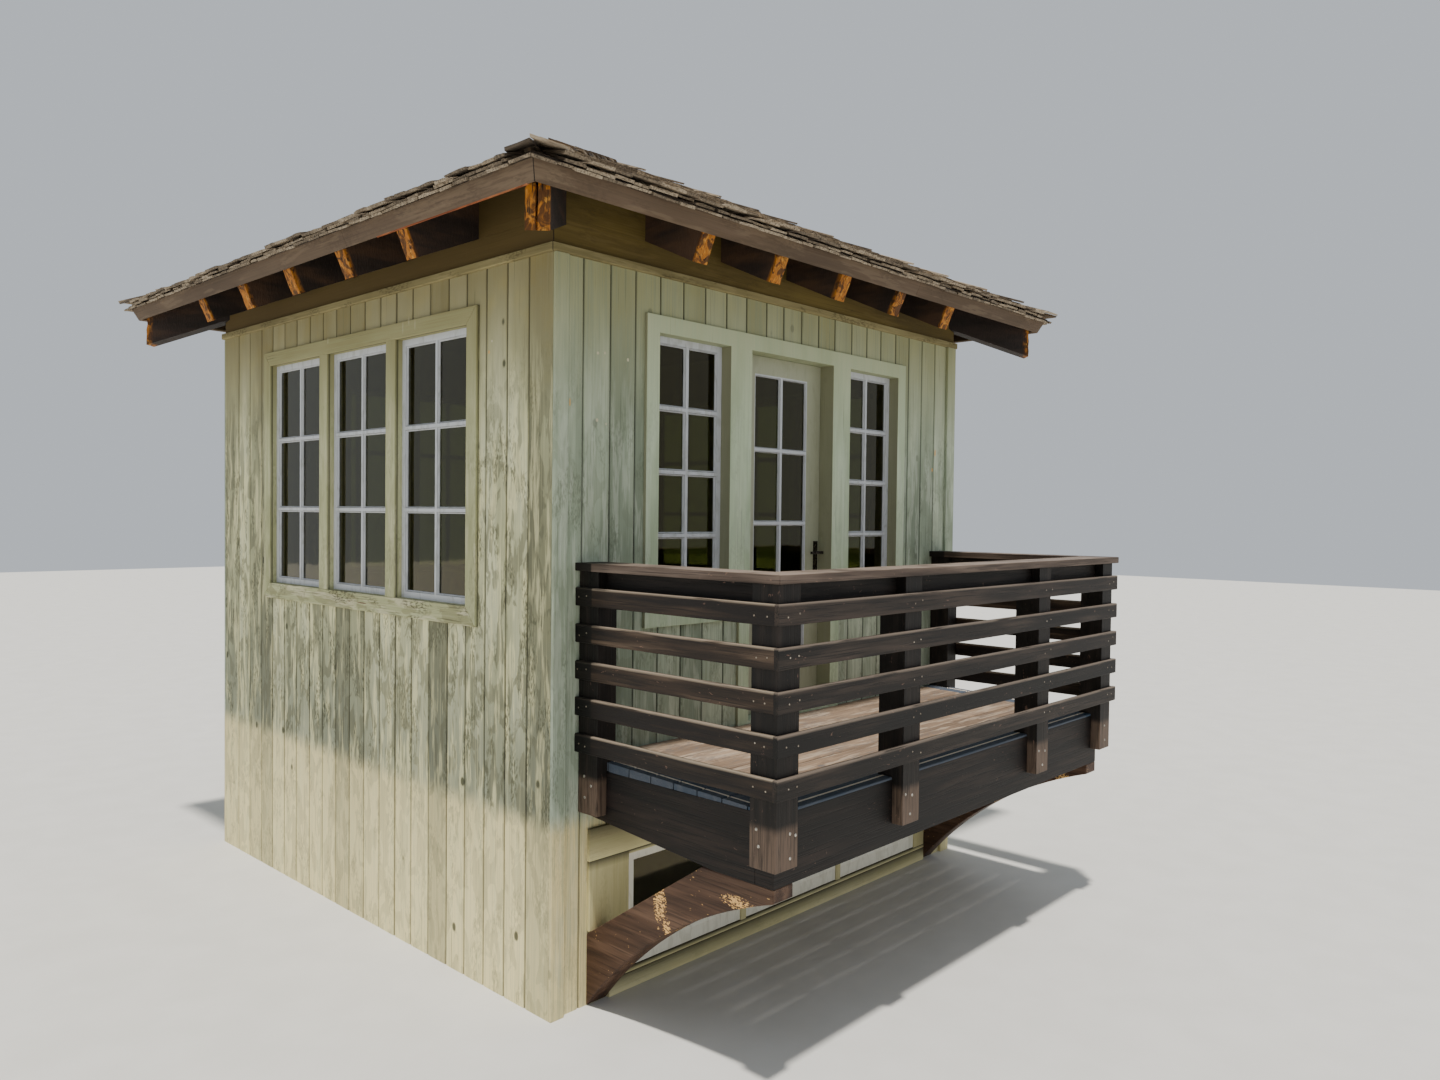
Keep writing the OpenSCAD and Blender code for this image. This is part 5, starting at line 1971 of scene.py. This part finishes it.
@dataclass
class Joinery:
    """Windows, door and the trim that is planted on the siding."""

    wall: float = 0.14
    casing: float = 0.089
    sill_casing: float = 0.100
    proud: float = 0.020
    jamb: float = 0.019
    light: float = 0.704
    mullion: float = 0.102
    sill: float = 1.922
    head: float = 3.360
    front_head: float = 3.334
    face: float = 0.0363
    bar: float = 0.020
    brace: float = 0.132
    brace_top: float = 0.367
    beam_foot: float = 0.8695
    lower_in: float = 0.258
    lower_mullion: float = 0.046
    lower_rail: float = 2.2
    lower_foot: float = 0.110
    lower_head: float = 0.690
    header_foot: float = 0.709
    header_head: float = 0.902
    # Eased arris of a board, and half of an open mitre
    ease: float = 0.0025
    mitre: float = 0.0016
    # Mean width of a worn arris
    worn: float = 0.0016
    # How far the fronts of the sashes and of the door stand back from the siding
    recess: float = 0.025
    front_recess: float = 0.050
    door_recess: float = 0.080
    sidelight: float = 0.540
    # Glass of the door: left edge, width, foot and head
    door_glass: Four = (1.528, 0.474, 1.500, 3.220)

    def corners(self, low_s: Array, high_s: Array, low_z: Array, high_z: Array) -> Array:
        """Corners of rectangles, in order round them from the lower left.

        Args:
            low_s: Left edge of each rectangle.
            high_s: Right edge of each.
            low_z: Foot of each.
            high_z: Head of each.

        Returns:
            Corners as rectangles x 4 x (s, z).
        """
        s = np.stack([low_s, high_s, high_s, low_s], -1)
        z = np.stack([low_z, low_z, high_z, high_z], -1)
        return np.stack([s, z], -1)

    def round_frame(self, side: Side, corners: Array, inset: Array, depth: Array) -> Array:
        """Carry a profile round rectangles, mitred at their corners.

        Args:
            side: Wall that the rectangles are on.
            corners: Corners as rectangles x 4 x (s, z).
            inset: How far each point of the profile lies inside the rectangle, in an
                array that fits rectangles x 4 x points x (s, z).
            depth: Distance of each point inwards from the siding.

        Returns:
            Rings as rectangles x 4 x points x 3: each corner moved inwards by the inset,
            in s and in z at once, which is the mitre.
        """
        inward = np.array([[1, 1], [-1, 1], [-1, -1], [1, -1]])[None, :, None]
        moved = corners[:, :, None] + inward * inset
        return side.at(moved[..., 0], depth, moved[..., 1])

    def beads(
        self, mesh: PieceMesh, side: Side, panes: Array, recess: float, wide: float = 0.006
    ) -> None:
        """Glazing beads: a small sloped profile of five points round each pane.

        Args:
            mesh: Mesh that takes the beads.
            side: Wall that the panes are in.
            panes: Low and high s and low and high z of each pane, panes x 4.
            recess: Distance of the sash front inwards from the siding.
            wide: Width of a bead.
        """
        # A shadow gap is left between sash and bead
        inset = np.array([0.38, 0.6, 1.4, 1.4, 0.38])[None, None, :, None] * wide
        depth = recess + np.array([0.004, 0.004, 0.011, 0.0155, 0.0155])
        frame_corners = self.corners(*panes.T)
        rings = self.round_frame(side, frame_corners, inset, depth)
        mesh.carry(rings, closed=True)

    def panes(
        self, start: float, width: float, low: float, high: float, cols: int, rows: int, face: float
    ) -> Array:
        """Panes of one sash between its frame and its bars.

        Args:
            start: Left edge of the sash along the wall.
            width: Width of the sash.
            low: Foot of the sash.
            high: Head of the sash.
            cols: Panes across.
            rows: Panes in height.
            face: Width of the frame round them.

        Returns:
            Low and high s and low and high z of each pane, panes x 4.
        """
        s = np.linspace(start + face, start + width - face, cols + 1)
        z = np.linspace(low + face, high - face, rows + 1)
        half = self.bar / 2
        left, right = s[:-1] + half * (s[:-1] > s[0]), s[1:] - half * (s[1:] < s[-1])
        foot, top = z[:-1] + half * (z[:-1] > z[0]), z[1:] - half * (z[1:] < z[-1])
        grid = np.meshgrid(np.arange(cols), np.arange(rows), indexing="ij")
        i, j = (g.ravel() for g in grid)
        return np.stack([left[i], right[i], foot[j], top[j]], -1)

    def triple(self, side: Side) -> None:
        """Casing, jambs and beads of a triple window.

        Args:
            side: Wall that it is in.

        The casing is four boards mitred at the corners and two flat mullion boards. Each
        has a profile of six points with eased front arrises, carried from end to end.
        """
        name = side.name.lower()
        mesh = PieceMesh(f"{name}_window_frame", 71)
        group = 3 * self.light + 2 * self.mullion
        low, high = side.window - group / 2, side.window + group / 2
        starts = low + np.arange(3) * (self.light + self.mullion)
        # Jambs and the posts between the lights, as deep as the wall
        s = np.unique([low - self.jamb, high + self.jamb, *starts, *(starts + self.light)])
        z = np.array([self.sill - self.jamb, self.sill, self.head, self.head + self.jamb])
        mid_s, mid_z = (s[1:] + s[:-1]) / 2, (z[1:] + z[:-1]) / 2
        lit = ((mid_s[:, None] > starts) & (mid_s[:, None] < starts + self.light)).any(1)
        solid = ~(lit[:, None, None] & (mid_z == mid_z[1])[None, None, :])
        mesh.cells(side, s, np.array([0.0, self.wall]), z, solid)
        # Mitred boards: the outline is carried round, then each side is a board of its own
        outer = self.corners(
            np.array([low - self.casing]),
            np.array([high + self.casing]),
            np.array([self.sill - self.sill_casing]),
            np.array([self.head + self.casing]),
        )
        ease = self.ease
        eased = np.array([0.0, 0.0, ease, -ease, 0.0, 0.0])[:, None]
        inner = np.array([0, 0, 0, 1, 1, 1])[:, None]
        # The sill board, between the two lower corners, is wider than the others
        wide = np.array([[self.casing, self.sill_casing]] * 2 + [[self.casing] * 2] * 2)
        inset = (eased + inner * wide[:, None])[None]
        depth = -np.array([0.0, self.proud - ease, self.proud, self.proud, self.proud - ease, 0.0])
        ring = self.round_frame(side, outer, inset, depth)[0]
        start, stop = ring, np.roll(ring, -1, 0)
        way = (stop - start) / np.linalg.norm(stop - start, axis=-1, keepdims=True)
        boards = np.stack([start + way * self.mitre, stop - way * self.mitre], 1)
        # The back points of each board get wear 1, which the stain darkens: dirt and painted shade
        # where the casing meets the siding
        edge = np.array([1.0, 0.0, 0.0, 0.0, 0.0, 1.0])
        mesh.carry(boards[[1, 3]], edge, np.array([0.0, 0.05]))
        posts = starts[:2, None, None] + self.light
        across = np.array([0.0, 0.0, ease, self.mullion - ease, self.mullion, self.mullion])
        height = np.array([self.sill + 0.0009, self.head - 0.0009])[None, :, None]
        mesh.carry(side.at(posts + across, depth[None, None], height), edge)
        finish = TRIM if side in (Side.LEFT, Side.BACK) else SHADED_TRIM
        mesh.make(finish, "trim_paint", f"{name}_casing")
        worn = replace(finish, name=f"rain_worn_{finish.name}", **RAIN_WORN)
        for place, board, look in (("sill", 0, worn), ("head", 2, finish)):
            level = PieceMesh(f"{name}_{place}_casing", 78 + board)
            level.carry(boards[[board]], edge, np.array([-0.2]))
            level.make(look.along(Grain.LEVEL), "trim_paint")
        beads = PieceMesh(f"{name}_glazing_beads", 72)
        for start in starts:
            panes = self.panes(start, self.light, self.sill, self.head, 2, 3, self.face)
            self.beads(beads, side, panes, self.recess)
        beads.make(SASH_PAINT, "sash_paint")

    def front(self) -> None:
        """Beads of the sidelights and the door."""
        beads = PieceMesh("sidelight_glazing_beads", 73)
        low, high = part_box("sidelight_sashes")
        width = self.sidelight
        for start in (low.x - CORNER[0], high.x - CORNER[0] - width):
            panes = self.panes(start, width, self.sill, self.front_head, 2, 4, self.face)
            self.beads(beads, Side.FRONT, panes, self.front_recess)
        beads.make(SASH_PAINT, "sash_paint")
        door = PieceMesh("door_glazing_beads", 74)
        panes = self.panes(*self.door_glass, 2, 4, 0.0)
        self.beads(door, Side.FRONT, panes, self.door_recess, 0.004)
        door.make(SASH_PAINT, "sash_paint")

    def lower(self) -> None:
        """Boards and window frames of the strip between the knee braces.

        The boards are bars. A frame is a profile of five points, flat in front with a
        slope to the glass, carried round each light and mitred at its corners.
        """
        low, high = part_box("lower_casing")
        left, right = low.x - CORNER[0], high.x - CORNER[0]
        start, stop = left + self.brace, right - self.brace
        foot, head, joint, top = self.lower_foot, self.lower_head, self.header_foot, self.header_head
        first, last = left + self.lower_in, right - self.lower_in
        width = (last - first - 2 * self.lower_mullion) / 3
        starts = first + np.arange(3) * (width + self.lower_mullion)
        level = [
            (start, stop, 0.0, foot - 0.025),
            (start, stop, foot - 0.024, foot),
            (left, right, joint, self.beam_foot),
            (start, stop, self.beam_foot, top),
            (first, last, head, joint),
        ]
        upright = [
            (left, first, self.brace_top, joint),
            (last, right, self.brace_top, joint),
            (start, first, foot, self.brace_top),
            (last, stop, foot, self.brace_top),
            *((x - self.lower_mullion, x, foot, head) for x in starts[1:]),
        ]
        gap = 0.0007
        for name, boards, axis, seed, node in (
            ("lower_level_boards", level, 0, 75, "lower_casing"),
            ("lower_upright_boards", upright, 2, 76, ""),
        ):
            x0, x1, z0, z1 = np.array(boards).T
            mesh = PieceMesh(name, seed)
            lowest = spread(x0 + gap, -self.proud, z0 + gap * (z0 > 0))
            mesh.bars(lowest, spread(x1 - gap, -0.0002, z1 - gap), axis, self.worn)
            finish = LIT_BOARD.along(Grain.ALONG_X) if axis == 0 else BASE_BOARD
            mesh.make(finish, "trim_paint", *([node] if node else []))
        frames = PieceMesh("lower_window_frames", 77)
        # The bottom rail is the deepest, so the inset grows in z alone at the two lower corners
        inset = np.array([0.002, 0.002, 0.033, 0.041, 0.041])[None, None, :, None]
        deep = np.array([[1, self.lower_rail], [1, self.lower_rail], [1, 1], [1, 1]])
        inset = inset * deep[None, :, None, :]
        depth = np.array([-0.0006, -0.013, -0.013, -0.008, -0.0006])
        each = np.ones(3)
        corners = self.corners(starts, starts + width, foot * each, head * each)
        frames.carry(self.round_frame(Side.FRONT, corners, inset, depth), closed=True)
        frames.make(CREAM_SASH, "sash_paint", "lower_sashes")

    def build(self) -> None:
        """Build window frames and beads, and dress sashes, glass, door and lever."""
        for side in (Side.LEFT, Side.RIGHT, Side.BACK):
            self.triple(side)
        self.front()
        self.lower()
        dress("corner_boards", SHADED_SIDING, 3.0)
        dress("front_casing", FRONT_TRIM, 2.0)
        for node in ("sidelight_sashes", "back_sashes", "left_sashes", "right_sashes"):
            dress(node, SASH_PAINT, 2.0)
        dress("door_leaf", DOOR_PAINT, 2.0)
        dress("door_handle", BRONZE, 1.5)
        dress("window_glass", GLASS)


@dataclass
class Interior:
    """Floor of the room and the joists under it."""

    def build(self) -> None:
        """Dress the floor and its joists."""
        dress("floor_boards", BARE_TIMBER.along(Grain.ALONG_Y))
        dress("floor_joists", BARE_TIMBER.along(Grain.ALONG_Y))


@dataclass
class Balcony:
    """Deck, beams, posts, slatted railing and knee braces."""

    left: float = 0.146
    right: float = 3.484
    reach: float = 1.266
    slat: float = 0.025
    slat_height: float = 0.088
    slat_low: float = 1.262
    slat_step: float = 0.1755
    slat_count: int = 5
    post: float = 0.140
    wall_post: float = 0.114
    inner_posts: tuple[float, float] = (1.160, 2.524)
    deck_count: int = 8
    deck_gap: float = 0.006
    deck_fall: float = 0.032
    # Mean width of a worn arris
    worn: float = 0.003
    # Middles of the bolts in the tails of the posts: x and z in front, y and z at the sides
    front_bolts: tuple[tuple[float, float], ...] = (
        (0.261, 1.112), (0.297, 1.099), (0.263, 1.010), (1.114, 1.109), (1.170, 1.096),
        (1.155, 1.010), (2.479, 1.094), (2.557, 1.084), (2.529, 1.008), (3.385, 1.110),
        (3.394, 1.018),
    )
    side_bolts: tuple[tuple[float, float], ...] = (
        (-1.138, 1.128), (-1.150, 1.060), (-0.046, 1.146), (-0.096, 1.107), (-0.050, 1.044),
    )
    # Head of a bolt and of a screw: across, in height and outwards
    bolt: tuple[float, float, float] = (0.0075, 0.0075, 0.0032)
    screw: tuple[float, float, float] = (0.0042, 0.0042, 0.0014)

    def slats(self) -> None:
        """Slats of the front, which lap the ends of those of the sides."""
        z = self.slat_low + self.slat_step * np.arange(self.slat_count)
        top, face = z + self.slat_height, self.slat - self.reach
        front = PieceMesh("front_railing_slats", 61)
        low, high = spread(self.left, -self.reach, z), spread(self.right, face, top)
        front.bars(low, high, 0, self.worn)
        front.make(SHADED_STAIN.along(Grain.ALONG_X), "dark_stain", "front_slats")
        sides = PieceMesh("side_railing_slats", 62)
        for x in (self.left, self.right - self.slat):
            # Half a millimetre is left at both ends
            low, high = spread(x, face + 0.5 * MM, z), spread(x + self.slat, -0.5 * MM, top)
            sides.bars(low, high, 1, self.worn)
        sides.make(DARK_STAIN.along(Grain.ALONG_Y), "dark_stain", "side_slats")

    def deck(self) -> None:
        """Deck boards, which fall outwards to shed rain.

        The boards are bars, and each point drops by the fall times its distance from the
        wall, so that their undersides sink into a rebate of the beams.
        """
        low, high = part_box("deck_boards")
        pitch = (high.y - low.y + self.deck_gap) / self.deck_count
        y = low.y - CORNER[1] + pitch * np.arange(self.deck_count)
        first = spread(low.x - CORNER[0] + 0.002, y + 0.001, low.z + 0.006)
        last = spread(high.x - CORNER[0] - 0.002, y + pitch - self.deck_gap, high.z + 0.010)
        mesh = PieceMesh("deck_boards_with_fall", 66)
        mesh.bars(first, last, 0, self.worn)
        points = mesh.points[-1]
        points[:, 2] += self.deck_fall * np.minimum(points[:, 1] - CORNER[1], 0)
        mesh.wears[-1] = np.zeros(len(points))
        mesh.make(DECKING.along(Grain.ALONG_X), "decking", "deck_boards")

    def fasteners(self) -> None:
        """Bolts through the tails of the posts, and two screws where a slat meets one."""
        face = self.slat - self.reach
        left, right = self.left + self.slat, self.right - self.slat
        bolts = PieceMesh("tail_bolts", 63)
        x, z = np.array(self.front_bolts).T
        bolts.domes(spread(x, face, z) + CORNER, (0, -1, 0), *self.bolt)
        y, z = np.array(self.side_bolts).T
        for x, way in ((left, -1), (right, 1)):
            bolts.domes(spread(x, y, z) + CORNER, (way, 0, 0), *self.bolt)
        bolts.make(ZINC, "dark_stain")
        screws = PieceMesh("slat_screws", 64)
        z = self.slat_low + self.slat_step * np.arange(self.slat_count) + self.slat_height / 2
        posts = np.array([left + self.post / 2, *self.inner_posts, right - self.post / 2])
        x = (posts[:, None] + np.array([-0.032, 0.032])).ravel()
        grid = np.stack(np.meshgrid(x, [-self.reach], z, indexing="ij"), -1).reshape(-1, 3)
        grid[:, [0, 2]] += screws.chance.uniform(-0.01, 0.01, (len(grid), 2))
        screws.domes(grid + CORNER, (0, -1, 0), *self.screw)
        y = np.array([face + self.post / 2, -self.wall_post / 2])
        y = (y[:, None] + np.array([-0.03, 0.03])).ravel()
        for wall, way in ((self.left, -1), (self.right, 1)):
            grid = np.stack(np.meshgrid([wall], y, z, indexing="ij"), -1).reshape(-1, 3)
            grid[:, 1:] += screws.chance.uniform(-0.01, 0.01, (len(grid), 2))
            screws.domes(grid + CORNER, (way, 0, 0), *self.screw)
        screws.make(IRON, "dark_stain")

    def build(self) -> None:
        """Build slats and fasteners, and dress the heavy timbers and the deck."""
        self.slats()
        self.deck()
        self.fasteners()
        dress("deck_joists", BARE_TIMBER.along(Grain.LEVEL))
        dress("rim_beams", BEAM_STAIN.along(Grain.LEVEL), 4.0)
        dress("rail_posts", POST_STAIN, 4.0)
        dress("sub_rails", POST_STAIN.along(Grain.LEVEL), 3.0)
        dress("cap_rail", CAP_STAIN.along(Grain.LEVEL), 3.0)
        dress("knee_braces", BRACE_STAIN.along(Grain.ALONG_Y), 5.0)


@dataclass
class Studio:
    """Plain pale floor, soft light from above the front left, and the camera."""

    eye: tuple[float, float, float] = (-2.964, -3.844, 2.399)
    yaw: float = 43.025
    pitch: float = -1.339
    roll: float = 0.651
    lens: float = 25.63
    sun: tuple[float, float, float] = (-0.17, -0.17, 1.0)
    strength: float = 5.0
    width: float = 2.5
    colour: tuple[float, float, float] = (1.0, 0.965, 0.91)
    sky: str = "#dfe6ee"
    sky_strength: float = 0.75

    def camera(self) -> None:
        """Camera at the eye. Its axes are the way ahead, turned by yaw and pitch, and the
        right and up ways square to it, rolled round it."""
        yaw, pitch, roll = (math.radians(v) for v in (self.yaw, self.pitch, self.roll))
        ahead = np.array(
            [math.cos(yaw) * math.cos(pitch), math.sin(yaw) * math.cos(pitch), math.sin(pitch)]
        )
        level = np.array([math.sin(yaw), -math.cos(yaw), 0.0])
        upward = np.cross(level, ahead)
        right = level * math.cos(roll) + upward * math.sin(roll)
        top = -level * math.sin(roll) + upward * math.cos(roll)
        data = bpy.data.cameras.new("camera")
        data.lens, data.sensor_width, data.sensor_fit = self.lens, 36.0, "HORIZONTAL"
        data.clip_start, data.clip_end = 0.05, 200.0
        camera = bpy.data.objects.new("camera", data)
        bpy.context.scene.collection.objects.link(camera)
        place = np.eye(4)
        place[:3, :3] = np.stack([right, top, -ahead], 1)
        place[:3, 3] = np.array(self.eye) + CORNER
        camera.matrix_world = Matrix(place.tolist())
        bpy.context.scene.camera = camera

    def lights(self) -> None:
        """A broad soft sun, and pale light from all round."""
        data = bpy.data.lights.new("soft_sun", "SUN")
        data.energy, data.angle = self.strength, math.radians(self.width)
        data.color = self.colour
        lamp = bpy.data.objects.new("soft_sun", data)
        way = np.array(self.sun) / np.linalg.norm(self.sun)
        side = np.cross((0, 1, 0), way) / np.linalg.norm(np.cross((0, 1, 0), way))
        turn = np.eye(4)
        turn[:3, :3] = np.stack([side, np.cross(way, side), way], 1)
        lamp.matrix_world = Matrix(turn.tolist())
        bpy.context.scene.collection.objects.link(lamp)
        world = bpy.data.worlds.new("studio")
        bpy.context.scene.world = world
        world.use_nodes = True
        world.node_tree.nodes.clear()
        looks = {"Color": self.sky, "Strength": self.sky_strength}
        back = add(world.node_tree, "Background", looks)
        add(world.node_tree, "OutputWorld", {"Surface": back.outputs[0]})

    def floor(self) -> None:
        """Pale paper on the ground line: a square grid whose height is zero."""
        step = np.linspace(-40, 40, 9)
        x, y = np.meshgrid(step, step, indexing="ij")
        points = np.stack([x, y, 0 * x], -1).reshape(-1, 3)
        corner = np.arange(81).reshape(9, 9)
        quads = np.stack([corner[:-1, :-1], corner[1:, :-1], corner[1:, 1:], corner[:-1, 1:]], -1)
        mesh = bpy.data.meshes.new("paper")
        mesh.from_pydata(points.tolist(), [], quads.reshape(-1, 4).tolist())
        mesh.materials.append(PAPER.material())
        sheet = bpy.data.objects.new("paper", mesh)
        bpy.context.scene.collection.objects.link(sheet)

    def build(self) -> None:
        """Set up camera, lights and floor."""
        self.camera()
        self.lights()
        self.floor()


def main() -> None:
    logging.basicConfig(level=logging.INFO, format="%(name)s: %(message)s")
    Studio().build()
    Siding().build()
    Eaves().build()
    Shakes().build()
    Joinery().build()
    Interior().build()
    Balcony().build()


if __name__ == "__main__":
    main()
